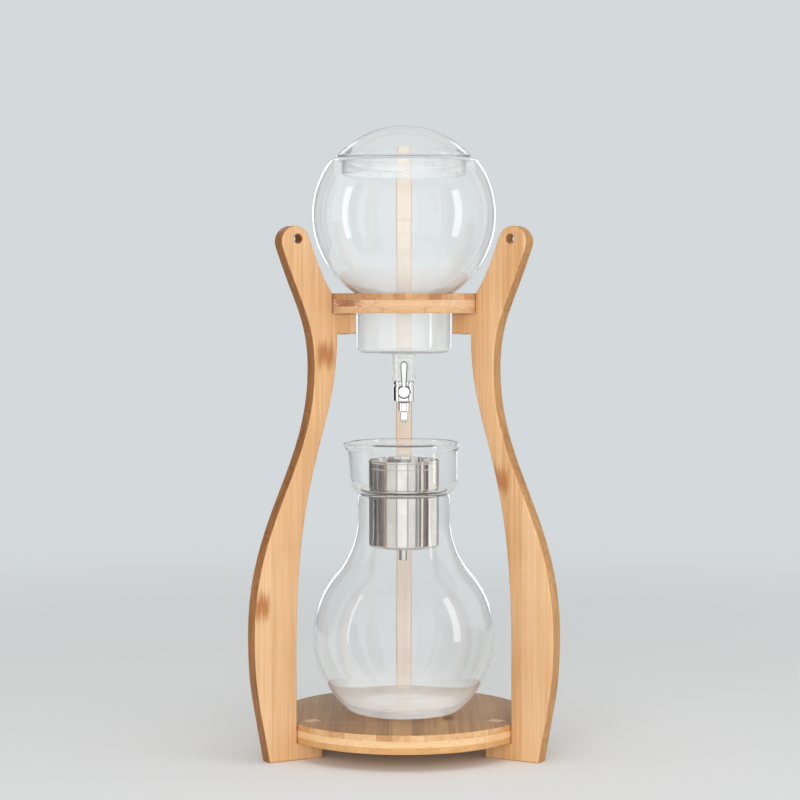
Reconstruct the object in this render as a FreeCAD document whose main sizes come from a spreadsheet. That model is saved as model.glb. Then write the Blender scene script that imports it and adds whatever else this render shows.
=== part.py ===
import FreeCAD
import Part
import Sketcher
import math
import os

# Cold drip coffee tower, in millimetres. A bamboo stand of three plate legs holds a glass globe
# with a drip tap over a glass carafe, and a steel coffee filter sits in the carafe's neck.
# Z is up from the floor, and Y runs from the front to the back. Radii are from the tower's axis.

SIZES = {
    # bamboo boards
    "leg_board": 13.0,
    "floor_board": 15.0,
    "ring_board": 15.0,
    "board_gap": 0.3,
    "board_edge": 0.8,
    # base board and the legs' feet under it
    "base_radius": 97.3,
    "foot_height": 13.0,
    "foot_end": 75.5,
    "tenon_inset": 0.6,
    "tenon_long": 11.0,
    "tenon_wide": 10.0,
    "tenon_gap": 0.05,
    # outer line of a leg
    "foot_reach": 120.7,
    "foot_lean": 10.2,
    "foot_bow": 48.0,
    "belly_bow_low": 40.5,
    "leg_reach": 133.2,
    "belly_height": 97.0,
    "belly_bow_high": 90.0,
    "waist_bow_low": 76.5,
    "waist_outside": 81.9,
    "waist_height": 298.0,
    "waist_bow_high": 37.5,
    # inner line of a leg
    "straight_height": 86.0,
    "inside_bow_low": 147.0,
    "inside_bow_high": 76.0,
    "waist_inside": 62.1,
    # upper ring and the brackets under it
    "ring_radius": 66.0,
    "ring_hole": 38.6,
    "bracket_top": 340.7,
    "bracket_deep": 16.2,
    "bracket_end": 46.0,
    # rounded horns above the ring
    "horn_round": 12.0,
    "horn_axis": 97.5,
    "horn_height": 394.5,
    "horn_lean": 19.5,
    "horn_bow": 48.0,
    "horn_inner_bow": 15.0,
    "seat_lean": 38.0,
    "seat_bow": 13.0,
    "back_horn_axis": 100.0,
    "back_horn_height": 470.0,
    "back_horn_straight": 45.0,
    "back_horn_bow": 62.0,
    "back_inner_bow": 26.0,
    "hang_hole": 3.5,
    "hang_hole_inward": 1.8,
    "hang_hole_up": 2.3,
    # wood screws that hold the ring
    "screw_place": 54.0,
    "screw_shank": 1.75,
    "screw_head": 3.6,
    "screw_head_deep": 2.2,
    "screw_bite": 10.0,
    "screw_hole_gap": 0.25,
    # globe
    "globe_radius": 71.8,
    "globe_wall": 2.2,
    "globe_seat_gap": 0.3,
    "mouth_radius": 49.6,
    "mouth_rise": 43.9,
    "mouth_round": 8.0,
    "neck_radius": 37.1,
    "neck_bottom": 309.4,
    "neck_corner": 5.5,
    "neck_fillet": 1.2,
    "outlet_radius": 9.4,
    "outlet_end": 287.3,
    "outlet_wall": 2.0,
    "outlet_fillet": 2.4,
    "bead_reach": 0.6,
    "bead_high": 3.6,
    # lid
    "lid_radius": 52.9,
    "lid_dome": 70.9,
    "lid_wall": 2.2,
    "lid_edge": 1.3,
    "lid_seat_gap": 0.2,
    "skirt_gap": 1.0,
    "skirt_wall": 2.2,
    "skirt_deep": 13.3,
    # tap
    "stopper_long": 18.0,
    "stopper_gap": 0.05,
    "stem_radius": 3.2,
    "stem_head": 4.3,
    "stem_head_high": 1.6,
    "stem_in_body": 4.0,
    "flow_radius": 1.5,
    "valve_radius": 8.35,
    "valve_long": 16.4,
    "valve_edge": 0.6,
    "plug_height": 8.2,
    "plug_radius": 3.55,
    "plug_clearance": 0.04,
    "plug_back": 2.6,
    "plug_tip": 2.2,
    "seal_thick": 1.0,
    "seal_place": 5.4,
    "clip_thick": 0.8,
    "clip_gap": 0.3,
    "clip_radius": 4.8,
    "clip_groove": 0.8,
    "lever_gap": 0.35,
    "lever_hub": 5.2,
    "hub_long": 4.6,
    "lever_long": 21.2,
    "lever_tip": 2.6,
    "lever_root": 1.7,
    "lever_thick": 2.4,
    "lever_edge": 0.5,
    "nozzle_radius": 4.5,
    "nozzle_step": 7.0,
    "nozzle_tip": 2.8,
    "nozzle_tip_long": 8.6,
    "nozzle_bore": 1.2,
    "nozzle_spigot": 3.0,
    "nozzle_in_body": 3.4,
    "washer_thick": 0.6,
    # carafe
    "carafe_wall": 2.2,
    "carafe_gap": 0.3,
    "bulb_radius": 71.0,
    "bulb_height": 60.0,
    "bulb_round": 76.0,
    "foot_round": 12.0,
    "carafe_neck": 36.3,
    "neck_start": 152.0,
    "waist_rise": 170.7,
    "groove_radius": 34.9,
    "groove_fillet": 4.2,
    "collar_radius": 42.1,
    "collar_start": 183.0,
    "rim_rise": 211.6,
    "rim_reach": 1.1,
    "rim_high": 3.6,
    "spout_axis": 33.0,
    "spout_radius": 13.4,
    "spout_root": 7.6,
    "spout_deep": 12.5,
    # coffee filter
    "filter_radius": 27.5,
    "sheet": 0.8,
    "seat_gap": 0.25,
    "seat_ring_inside": 28.3,
    "seat_ring_thick": 1.2,
    "flange_radius": 34.0,
    "collar_high": 22.2,
    "collar_bead": 0.5,
    "collar_bead_high": 1.4,
    "spigot_long": 7.0,
    "spigot_gap": 0.1,
    "can_high": 45.2,
    "can_corner": 2.6,
    "stub_radius": 3.9,
    "stub_bore": 2.5,
    "stub_long": 11.0,
    "stub_flange": 7.0,
    "mesh_gap": 0.25,
    "mesh_leg": 3.0,
    "mesh_sheet": 0.5,
    "disc_gap": 0.35,
    "disc_seat_gap": 0.2,
    "disc_knob": 2.6,
    "disc_knob_high": 7.0,
    "disc_sheet": 0.8,
    "drip_hole": 0.9,
}

# counts and angles that are not lengths
FRONT_RIGHT, BACK, FRONT_LEFT = -30.0, 90.0, 210.0
LEG_ANGLES = {"leg_front_right": FRONT_RIGHT, "leg_back": BACK, "leg_front_left": FRONT_LEFT}
LEG_COUNT = len(LEG_ANGLES)
FULL_TURN = 360.0
START, END, CENTRE = range(1, 4)
X_AXIS, Y_AXIS = range(-1, -3, -1)
ORIGIN = X_AXIS
SAME = 1e-4

# Rings of small holes in the filter's discs: each ring's share of the disc's radius.
FIRST_RING_HOLES = 6
MESH_RINGS = (0.22, 0.44, 0.66, 0.86)
DISC_RINGS = (0.28, 0.54, 0.80)

document = FreeCAD.newDocument("cold_drip_tower")
sheet = document.addObject("Spreadsheet::Sheet", "Sizes")


class Length:
    """A size worked out from the sheet: the text that binds a feature to it, and its number."""

    def __init__(self, text, number):
        self.text = text
        self.number = number

    def joined(self, other, sign, number):
        return Length("(%s %s %s)" % (self.text, sign, text_of(other)), number)

    def __add__(self, other):
        return self.joined(other, "+", self.number + number_of(other))

    def __sub__(self, other):
        return self.joined(other, "-", self.number - number_of(other))

    def __mul__(self, other):
        return self.joined(other, "*", self.number * number_of(other))

    def __truediv__(self, other):
        return self.joined(other, "/", self.number / number_of(other))

    def __neg__(self):
        return Length("(-1 * %s)" % self.text, -self.number)


def number_of(size):
    return size.number if isinstance(size, Length) else float(size)


def text_of(size):
    return size.text if isinstance(size, Length) else repr(float(size))


def root(size):
    return Length("sqrt(%s)" % size.text, math.sqrt(size.number))


def sine(angle):
    return Length("sin(%s)" % angle.text, math.sin(math.radians(angle.number)))


def cosine(angle):
    return Length("cos(%s)" % angle.text, math.cos(math.radians(angle.number)))


def leg_of(long_side, short_side):
    """The third side of a right-angled triangle."""
    return root(long_side * long_side - short_side * short_side)


def arc_through(side, rise):
    """Radius of an arc that leaves upright and ends a side step and a rise away."""
    return (side * side + rise * rise) / (side * 2)


class Sheet:
    """Reads a size out of the sheet by its name."""

    def __getattr__(self, alias):
        return Length("Sizes." + alias, SIZES[alias])


s = Sheet()
OUTSIDE = Length("0", 0.0)


def fill_sheet():
    for row, (alias, value) in enumerate(SIZES.items(), start=1):
        sheet.set("A%d" % row, alias)
        sheet.set("B%d" % row, str(value))
        sheet.setAlias("B%d" % row, alias)
    document.recompute()


def bind(feature, **sizes):
    """Binds a feature's properties to sizes of the sheet."""
    for name, size in sizes.items():
        setattr(feature, name, number_of(size))
        feature.setExpression(name, text_of(size))


class Outline:
    """A closed line in a sketch; each of its points is held at sizes of the sheet."""

    def __init__(self, sketch, x, y):
        self.sketch = sketch
        self.first = None
        self.last = None
        self.begin = self.here = (x, y)

    def hold(self, geometry, end, x, y):
        sides = (("DistanceX", x, Y_AXIS), ("DistanceY", y, X_AXIS))
        for kind, size, axis in sides:
            if not isinstance(size, Length):
                self.sketch.addConstraint(Sketcher.Constraint("PointOnObject", geometry, end, axis))
                continue
            from_origin = (ORIGIN, START, geometry, end)
            from_point = (geometry, end, ORIGIN, START)
            forward = size.number >= 0
            points = from_origin if forward else from_point
            constraint = Sketcher.Constraint(kind, *points, abs(size.number))
            index = self.sketch.addConstraint(constraint)
            bound = size if forward else -size
            self.sketch.setExpression("Constraints[%d]" % index, bound.text)

    def join(self, geometry, start, end, x, y, closing=False):
        """Ties a new segment to the one before it, and its far end to its own place."""
        if self.first is None:
            self.first = (geometry, start)
            self.hold(geometry, start, *self.begin)
        else:
            self.sketch.addConstraint(Sketcher.Constraint("Coincident", *self.last, geometry, start))
        if closing:
            self.sketch.addConstraint(Sketcher.Constraint("Coincident", geometry, end, *self.first))
        elif end is not None:
            self.hold(geometry, end, x, y)
        self.here = (x, y)

    def point(self, x, y):
        return FreeCAD.Vector(number_of(x), number_of(y), 0)

    def line(self, x, y):
        segment = Part.LineSegment(self.point(*self.here), self.point(x, y))
        geometry = self.sketch.addGeometry(segment)
        self.join(geometry, START, END, x, y)
        self.last = (geometry, END)
        return self

    def arc(self, radius, x, y, turn):
        """An arc of less than half a circle; turn is 1 anticlockwise and -1 clockwise."""
        start, stop = self.point(*self.here), self.point(x, y)
        chord = stop - start
        side = FreeCAD.Vector(-chord.y, chord.x, 0).normalize()
        reach = math.sqrt(max(number_of(radius) ** 2 - (chord.Length / 2) ** 2, 0))
        centre = start + chord / 2 + side * reach * turn
        middle = centre - side * number_of(radius) * turn
        curve = Part.Arc(start, middle, stop).toShape().Curve
        low, high = (start, stop) if turn > 0 else (stop, start)
        angles = [math.atan2(p.y - centre.y, p.x - centre.x) for p in (low, high)]
        if angles[1] < angles[0]:
            angles[1] += 2 * math.pi
        circle = Part.Circle(centre, FreeCAD.Vector(0, 0, 1), curve.Radius)
        geometry = self.sketch.addGeometry(Part.ArcOfCircle(circle, *angles))
        ends = (START, END) if turn > 0 else (END, START)
        self.join(geometry, *ends, x, y)
        index = self.sketch.addConstraint(Sketcher.Constraint("Radius", geometry, number_of(radius)))
        self.sketch.setExpression("Constraints[%d]" % index, radius.text)
        self.last = (geometry, ends[1])
        return self

    def curve(self, *poles):
        """A smooth curve with two handles, given as three points: handle, handle, end."""
        places = [self.point(*self.here)] + [self.point(*pole) for pole in poles]
        spline = Part.BSplineCurve()
        order = len(places)
        spline.buildFromPolesMultsKnots(places, [order, order], [0.0, 1.0], False, order - 1)
        geometry = self.sketch.addGeometry(spline)
        circles = []
        for index, place in enumerate(places):
            circle = self.sketch.addGeometry(Part.Circle(place, FreeCAD.Vector(0, 0, 1), 1.0), True)
            kind = "InternalAlignment:Sketcher::BSplineControlPoint"
            self.sketch.addConstraint(Sketcher.Constraint(kind, circle, CENTRE, geometry, index))
            circles.append(circle)
        self.sketch.addConstraint(Sketcher.Constraint("Weight", circles[0], 1.0))
        for circle in circles[1:]:
            self.sketch.addConstraint(Sketcher.Constraint("Equal", circles[0], circle))
        self.join(geometry, START, None, *poles[-1])
        for circle, pole in zip(circles[1:], poles):
            self.hold(circle, CENTRE, *pole)
        self.last = (geometry, END)
        return self

    def close(self):
        segment = Part.LineSegment(self.point(*self.here), self.point(*self.begin))
        geometry = self.sketch.addGeometry(segment)
        self.join(geometry, START, END, *self.begin, closing=True)


def circle(sketch, x, y, radius):
    """A round hole or boss, held at its centre and by its radius."""
    place = FreeCAD.Vector(number_of(x), number_of(y), 0)
    normal = FreeCAD.Vector(0, 0, 1)
    geometry = sketch.addGeometry(Part.Circle(place, normal, number_of(radius)))
    Outline(sketch, x, y).hold(geometry, CENTRE, x, y)
    index = sketch.addConstraint(Sketcher.Constraint("Radius", geometry, number_of(radius)))
    sketch.setExpression("Constraints[%d]" % index, radius.text)


def new_body(label, height=None):
    """An empty body that stands on the tower's axis, lifted to a height."""
    body = document.addObject("PartDesign::Body", label)
    body.Label = label
    place(body, height)
    return body


def place(thing, height=None, azimuth=0.0):
    turn = FreeCAD.Rotation(FreeCAD.Vector(0, 0, 1), azimuth)
    thing.Placement = FreeCAD.Placement(FreeCAD.Vector(0, 0, 0), turn)
    thing.setExpression("Placement.Base.y", tower_axis.text)
    if height is not None:
        thing.setExpression("Placement.Base.z", height.text)


def new_sketch(body, name, plane, offset=None):
    """A sketch on one of the body's own planes, moved along the plane's normal."""
    sketch = body.newObject("Sketcher::SketchObject", body.Name + "_" + name)
    support = [item for item in body.Origin.OriginFeatures if item.Role == plane][0]
    sketch.AttachmentSupport = (support, [""])
    sketch.MapMode = "FlatFace"
    if offset is not None:
        sketch.setExpression("AttachmentOffset.Base.z", offset.text)
    return sketch


def turned(body, sketch, cut=False):
    """Turns a sketch about its own vertical axis, as added or as removed material."""
    kind = "Groove" if cut else "Revolution"
    feature = body.newObject("PartDesign::" + kind, sketch.Name + "_turned")
    feature.Profile = sketch
    feature.ReferenceAxis = (sketch, ["V_Axis"])
    feature.Angle = FULL_TURN
    check_cut(body, feature, cut)
    return feature


def raised(body, sketch, length, both_ways=False):
    feature = body.newObject("PartDesign::Pad", sketch.Name + "_pad")
    feature.Profile = sketch
    bind(feature, Length=length)
    if both_ways:
        feature.SideType = "Symmetric"
    check_cut(body, feature, False)
    return feature


def pocketed(body, sketch, length=None, backwards=False):
    """Cuts a sketch into the body: to a depth, or right through both ways."""
    feature = body.newObject("PartDesign::Pocket", sketch.Name + "_pocket")
    feature.Profile = sketch
    if length is None:
        feature.Type = "ThroughAll"
        feature.SideType = "Symmetric"
    else:
        bind(feature, Length=length)
    feature.Reversed = backwards
    check_cut(body, feature, True)
    return feature


def check_cut(body, feature, cut):
    """Stops where a feature has not changed the body's volume the right way."""
    before = feature.BaseFeature.Shape.Volume if feature.BaseFeature else 0.0
    document.recompute()
    after = feature.Shape.Volume
    if (after >= before) if cut else (after <= before):
        raise RuntimeError("%s changed %s the wrong way" % (feature.Name, body.Label))


def around(body, feature, count):
    """Repeats a feature about the body's vertical axis."""
    pattern = body.newObject("PartDesign::PolarPattern", feature.Name + "_around")
    pattern.Originals = [feature]
    axis = [item for item in body.Origin.OriginFeatures if item.Role == "Z_Axis"][0]
    pattern.Axis = (axis, [""])
    pattern.Angle = FULL_TURN
    pattern.Occurrences = count
    body.Tip = pattern
    document.recompute()
    return pattern


def round_edges(body, feature, size, wanted, kind="Fillet"):
    """Rounds or bevels the edges of a feature that the test picks."""
    names = []
    for index, edge in enumerate(feature.Shape.Edges, start=1):
        if wanted(edge):
            names.append("Edge%d" % index)
    dress = body.newObject("PartDesign::" + kind, feature.Name + "_" + kind.lower())
    dress.Base = (feature, names)
    bind(dress, **{"Radius" if kind == "Fillet" else "Size": size})
    document.recompute()
    return dress


def is_ring(radius):
    """Tests for a full round edge of a radius."""
    def wanted(edge):
        round_edge = isinstance(edge.Curve, Part.Circle) and edge.isClosed()
        return round_edge and abs(edge.Curve.Radius - radius.number) < SAME
    return wanted


fill_sheet()

# heights and places that several pieces share
tower_axis = (s.base_radius - s.leg_reach) / 2
base_top = s.foot_height + s.floor_board
board_side = s.base_radius + s.board_gap
ring_top = s.bracket_top + s.ring_board
ring_side = s.ring_radius + s.board_gap
bracket_bottom = s.bracket_top - s.bracket_deep
globe_centre = ring_top + leg_of(s.globe_radius, s.ring_hole) + s.globe_seat_gap
mouth_top = globe_centre + s.mouth_rise
valve_top = s.outlet_end
valve_bottom = valve_top - s.valve_long
plug_axis = valve_bottom + s.plug_height
carafe_base = base_top + s.carafe_gap
carafe_rim = carafe_base + s.rim_rise
carafe_seam = carafe_base + s.waist_rise
collar_low = carafe_base + s.collar_start
groove_rise = s.collar_start - s.waist_rise
collar_curve = arc_through(s.collar_radius - s.groove_radius, groove_rise)
collar_middle = s.collar_radius - collar_curve
neck_curve = arc_through(s.carafe_neck - s.groove_radius, s.groove_fillet)
neck_middle = s.carafe_neck - neck_curve
tenon_start = s.foot_end + s.tenon_inset
tenon_middle = tenon_start + s.tenon_long / 2


def seat_curve(outline, start_handle):
    """The inner line of a horn, down to the edge of the upper ring."""
    lean = s.seat_lean
    end_handle = ring_side + s.seat_bow * sine(lean), ring_top + s.seat_bow * cosine(lean)
    outline.curve(start_handle, end_handle, (ring_side, ring_top))


def front_horn(outline):
    """The rounded top end of a front leg, which leans out past the globe."""
    side, up = cosine(s.horn_lean), sine(s.horn_lean)
    out_x, out_z = s.horn_axis + s.horn_round * side, s.horn_height - s.horn_round * up
    top_x, top_z = s.horn_axis + s.horn_round * up, s.horn_height + s.horn_round * side
    in_x, in_z = s.horn_axis - s.horn_round * side, s.horn_height + s.horn_round * up
    outline.curve(
        (s.waist_outside, s.waist_height + s.waist_bow_high),
        (out_x - s.horn_bow * up, out_z - s.horn_bow * side),
        (out_x, out_z),
    )
    outline.arc(s.horn_round, top_x, top_z, 1)
    outline.arc(s.horn_round, in_x, in_z, 1)
    seat_curve(outline, (in_x - s.horn_inner_bow * up, in_z - s.horn_inner_bow * side))


def back_horn(outline):
    """The top end of the back leg, which stands straight up behind the globe."""
    start = s.back_horn_height - s.back_horn_straight
    out_x, in_x = s.back_horn_axis + s.horn_round, s.back_horn_axis - s.horn_round
    outline.curve(
        (s.waist_outside, s.waist_height + s.waist_bow_high),
        (out_x, start - s.back_horn_bow),
        (out_x, start),
    )
    outline.line(out_x, s.back_horn_height)
    outline.arc(s.horn_round, s.back_horn_axis, s.back_horn_height + s.horn_round, 1)
    outline.arc(s.horn_round, in_x, s.back_horn_height, 1)
    outline.line(in_x, start)
    seat_curve(outline, (in_x, start - s.back_inner_bow))


def make_leg(label, azimuth, tall):
    """A leg cut from bamboo board: foot, belly, waist, bracket and horn in one outline."""
    body = new_body(label)
    place(body, azimuth=azimuth)
    sketch = new_sketch(body, "outline", "XZ_Plane")
    outline = Outline(sketch, s.foot_reach, 0)
    outline.curve(
        (s.foot_reach + s.foot_bow * sine(s.foot_lean), s.foot_bow * cosine(s.foot_lean)),
        (s.leg_reach, s.belly_height - s.belly_bow_low),
        (s.leg_reach, s.belly_height),
    )
    outline.curve(
        (s.leg_reach, s.belly_height + s.belly_bow_high),
        (s.waist_outside, s.waist_height - s.waist_bow_low),
        (s.waist_outside, s.waist_height),
    )
    if tall:
        hole_axis, hole_height = s.back_horn_axis, s.back_horn_height
        back_horn(outline)
    else:
        hole_axis, hole_height = s.horn_axis, s.horn_height
        front_horn(outline)
    outline.line(ring_side, s.bracket_top)
    outline.line(s.bracket_end, s.bracket_top)
    outline.line(s.bracket_end, bracket_bottom)
    outline.line(s.waist_inside, bracket_bottom)
    outline.curve(
        (s.waist_inside, bracket_bottom - s.inside_bow_high),
        (board_side, s.straight_height + s.inside_bow_low),
        (board_side, s.straight_height),
    )
    outline.line(board_side, s.foot_height)
    outline.line(s.foot_end, s.foot_height)
    outline.line(s.foot_end, 0)
    outline.close()
    circle(sketch, hole_axis - s.hang_hole_inward, hole_height + s.hang_hole_up, s.hang_hole)
    raised(body, sketch, s.leg_board, both_ways=True)

    tenon = new_sketch(body, "tenon", "XZ_Plane")
    side = Outline(tenon, tenon_start, s.foot_height)
    side.line(tenon_start + s.tenon_long, s.foot_height)
    side.line(tenon_start + s.tenon_long, base_top)
    side.line(tenon_start, base_top)
    side.close()
    raised(body, tenon, s.tenon_wide, both_ways=True)

    hole = new_sketch(body, "screw_hole", "XY_Plane", s.bracket_top)
    circle(hole, s.screw_place, 0, s.screw_shank + s.screw_hole_gap)
    pocketed(body, hole, s.bracket_deep)
    sink = body.newObject("PartDesign::SubtractiveCone", label + "_countersink")
    bind(sink, Radius1=s.screw_head, Radius2=s.screw_shank, Height=s.screw_head_deep)
    sink.setExpression("Placement.Base.x", s.screw_place.text)
    sink.setExpression("Placement.Base.z", bracket_bottom.text)
    document.recompute()
    return body


def make_base_board():
    """Round board that carries the carafe; the feet's tenons come up through it."""
    body = new_body("base_board", s.foot_height)
    sketch = new_sketch(body, "disc", "XY_Plane")
    circle(sketch, 0, 0, s.base_radius)
    disc = raised(body, sketch, s.floor_board)
    round_edges(body, disc, s.board_edge, is_ring(s.base_radius), "Chamfer")
    slot = new_sketch(body, "mortise", "XY_Plane")
    half = s.tenon_wide / 2 + s.tenon_gap
    near, far = tenon_start - s.tenon_gap, tenon_start + s.tenon_long + s.tenon_gap
    mortise = Outline(slot, -half, near)
    mortise.line(half, near)
    mortise.line(half, far)
    mortise.line(-half, far)
    mortise.close()
    around(body, pocketed(body, slot, s.floor_board, backwards=True), LEG_COUNT)


def make_upper_ring():
    """Round board with the hole that the globe hangs in."""
    body = new_body("upper_ring", s.bracket_top)
    sketch = new_sketch(body, "ring", "XY_Plane")
    circle(sketch, 0, 0, s.ring_radius)
    circle(sketch, 0, 0, s.ring_hole)
    ring = raised(body, sketch, s.ring_board)
    round_edges(body, ring, s.board_edge, is_ring(s.ring_radius), "Chamfer")
    pilot = new_sketch(body, "pilot", "XY_Plane")
    circle(pilot, 0, s.screw_place, s.screw_shank)
    around(body, pocketed(body, pilot, s.screw_bite, backwards=True), LEG_COUNT)


def make_ring_screws():
    """Countersunk screws that come up through the brackets into the ring."""
    screws = []
    for name, azimuth in LEG_ANGLES.items():
        shank = document.addObject("Part::Cylinder", name + "_shank")
        bind(shank, Radius=s.screw_shank, Height=s.bracket_deep + s.screw_bite)
        head = document.addObject("Part::Cone", name + "_head")
        bind(head, Radius1=s.screw_head, Radius2=s.screw_shank, Height=s.screw_head_deep)
        screw = document.addObject("Part::MultiFuse", name + "_screw")
        screw.Shapes = [shank, head]
        place(screw, bracket_bottom)
        angle = repr(azimuth)
        screw.setExpression("Placement.Base.x", "%s * cos(%s)" % (s.screw_place.text, angle))
        across = "%s + %s * sin(%s)" % (tower_axis.text, s.screw_place.text, angle)
        screw.setExpression("Placement.Base.y", across)
        screws.append(screw)
    group = document.addObject("Part::Compound", "ring_screws")
    group.Label = "ring_screws"
    group.Links = screws
    return group


def globe_line(sketch, inset):
    """The globe's half outline from mouth to outlet, moved inwards by the wall."""
    radius = s.globe_radius - inset
    shoulder_rise = s.mouth_rise - s.mouth_round
    shoulder = leg_of(s.globe_radius - s.mouth_round, shoulder_rise)
    high = radius / (s.globe_radius - s.mouth_round)
    fillet_axis = s.neck_radius + s.neck_fillet
    drop = leg_of(s.globe_radius + s.neck_fillet, fillet_axis)
    low = radius / (s.globe_radius + s.neck_fillet)
    neck = s.neck_radius - inset
    bend = s.neck_corner - inset
    floor = s.neck_bottom + inset
    hollow = inset is not OUTSIDE
    tube = s.outlet_radius - s.outlet_wall if hollow else s.outlet_radius
    outline = Outline(sketch, 0, mouth_top)
    if hollow:
        outline.line(s.mouth_radius, mouth_top)
        outline.line(s.mouth_radius, mouth_top - inset)
    outline.line(shoulder, mouth_top - inset)
    outline.arc(s.mouth_round - inset, shoulder * high, globe_centre + shoulder_rise * high, -1)
    outline.arc(radius, radius, globe_centre, -1)
    outline.arc(radius, fillet_axis * low, globe_centre - drop * low, -1)
    outline.arc(s.neck_fillet + inset, neck, globe_centre - drop, 1)
    outline.line(neck, floor + bend)
    outline.arc(bend, neck - bend, floor, -1)
    outline.line(tube + s.outlet_fillet, floor)
    outline.arc(s.outlet_fillet, tube, floor - s.outlet_fillet, 1)
    if not hollow:
        bead_round = arc_through(s.bead_reach, s.bead_high / 2)
        outline.line(tube, s.outlet_end + s.bead_high)
        outline.arc(bead_round, tube + s.bead_reach, s.outlet_end + s.bead_high / 2, -1)
        outline.arc(bead_round, tube, s.outlet_end, -1)
    else:
        outline.line(tube, s.outlet_end)
    outline.line(0, s.outlet_end)
    outline.close()


def make_globe():
    """Blown glass water globe with its neck cup and outlet tube."""
    body = new_body("globe")
    outside = new_sketch(body, "outside", "XZ_Plane")
    globe_line(outside, OUTSIDE)
    turned(body, outside)
    inside = new_sketch(body, "inside", "XZ_Plane")
    globe_line(inside, s.globe_wall)
    turned(body, inside, cut=True)


def make_lid():
    """Glass dome that carries on the globe's round, with a skirt that drops into the mouth."""
    body = new_body("lid")
    rim = mouth_top + s.lid_seat_gap
    centre = rim + s.lid_edge - leg_of(s.lid_dome, s.lid_radius)
    inner = s.lid_dome - s.lid_wall
    skirt_out = s.mouth_radius - s.skirt_gap
    skirt_in = skirt_out - s.skirt_wall
    sketch = new_sketch(body, "wall", "XZ_Plane")
    outline = Outline(sketch, 0, centre + s.lid_dome)
    outline.arc(s.lid_dome, s.lid_radius, rim + s.lid_edge, -1)
    outline.line(s.lid_radius, rim)
    outline.line(skirt_out, rim)
    outline.line(skirt_out, rim - s.skirt_deep)
    outline.line(skirt_in, rim - s.skirt_deep)
    outline.line(skirt_in, centre + leg_of(inner, skirt_in))
    outline.arc(inner, 0, centre + inner, 1)
    outline.close()
    turned(body, sketch)


def tube_line(sketch, steps, bore):
    """The wall of a turned piece: steps are (radius, low, high) from the top down."""
    top = steps[0][2]
    outline = Outline(sketch, bore, top)
    for radius, low, high in steps:
        outline.line(radius, high)
        outline.line(radius, low)
    outline.line(bore, steps[-1][1])
    outline.close()


def make_tube(label, steps, bore):
    body = new_body(label)
    sketch = new_sketch(body, "wall", "XZ_Plane")
    tube_line(sketch, steps, bore)
    return body, turned(body, sketch)


def make_tap():
    """Stopper, stem, body and nozzle of the drip tap, all turned about the tower's axis."""
    bore = s.outlet_radius - s.outlet_wall - s.stopper_gap
    stopper_top = valve_top + s.stopper_long
    make_tube("outlet_stopper", [(bore, valve_top, stopper_top)], s.stem_radius)
    stem_low = valve_top - s.stem_in_body
    stem_top = stopper_top + s.stem_head_high
    make_tube(
        "valve_stem",
        [(s.stem_head, stopper_top, stem_top), (s.stem_radius, stem_low, stopper_top)],
        s.flow_radius,
    )
    nozzle_top = valve_bottom - s.washer_thick
    step = nozzle_top - s.nozzle_step
    make_tube(
        "valve_nozzle",
        [
            (s.nozzle_spigot, nozzle_top, valve_bottom + s.nozzle_in_body),
            (s.nozzle_radius, step, nozzle_top),
            (s.nozzle_tip, step - s.nozzle_tip_long, step),
        ],
        s.nozzle_bore,
    )
    make_tube("nozzle_seal", [(s.nozzle_radius, nozzle_top, valve_bottom)], s.nozzle_spigot)

    body, barrel = make_tube("valve_body", [(s.valve_radius, valve_bottom, valve_top)], s.flow_radius)
    round_edges(body, barrel, s.valve_edge, is_ring(s.valve_radius), "Chamfer")
    sockets = (
        ("stem_socket", s.stem_radius, s.stem_in_body, valve_top, False),
        ("nozzle_socket", s.nozzle_spigot, s.nozzle_in_body, valve_bottom, True),
    )
    for name, radius, deep, height, upwards in sockets:
        socket = new_sketch(body, name, "XY_Plane", height)
        circle(socket, 0, 0, radius)
        pocketed(body, socket, deep, backwards=upwards)
    across = new_sketch(body, "plug_bore", "XZ_Plane")
    circle(across, 0, plug_axis, s.plug_radius + s.plug_clearance)
    pocketed(body, across)


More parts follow.
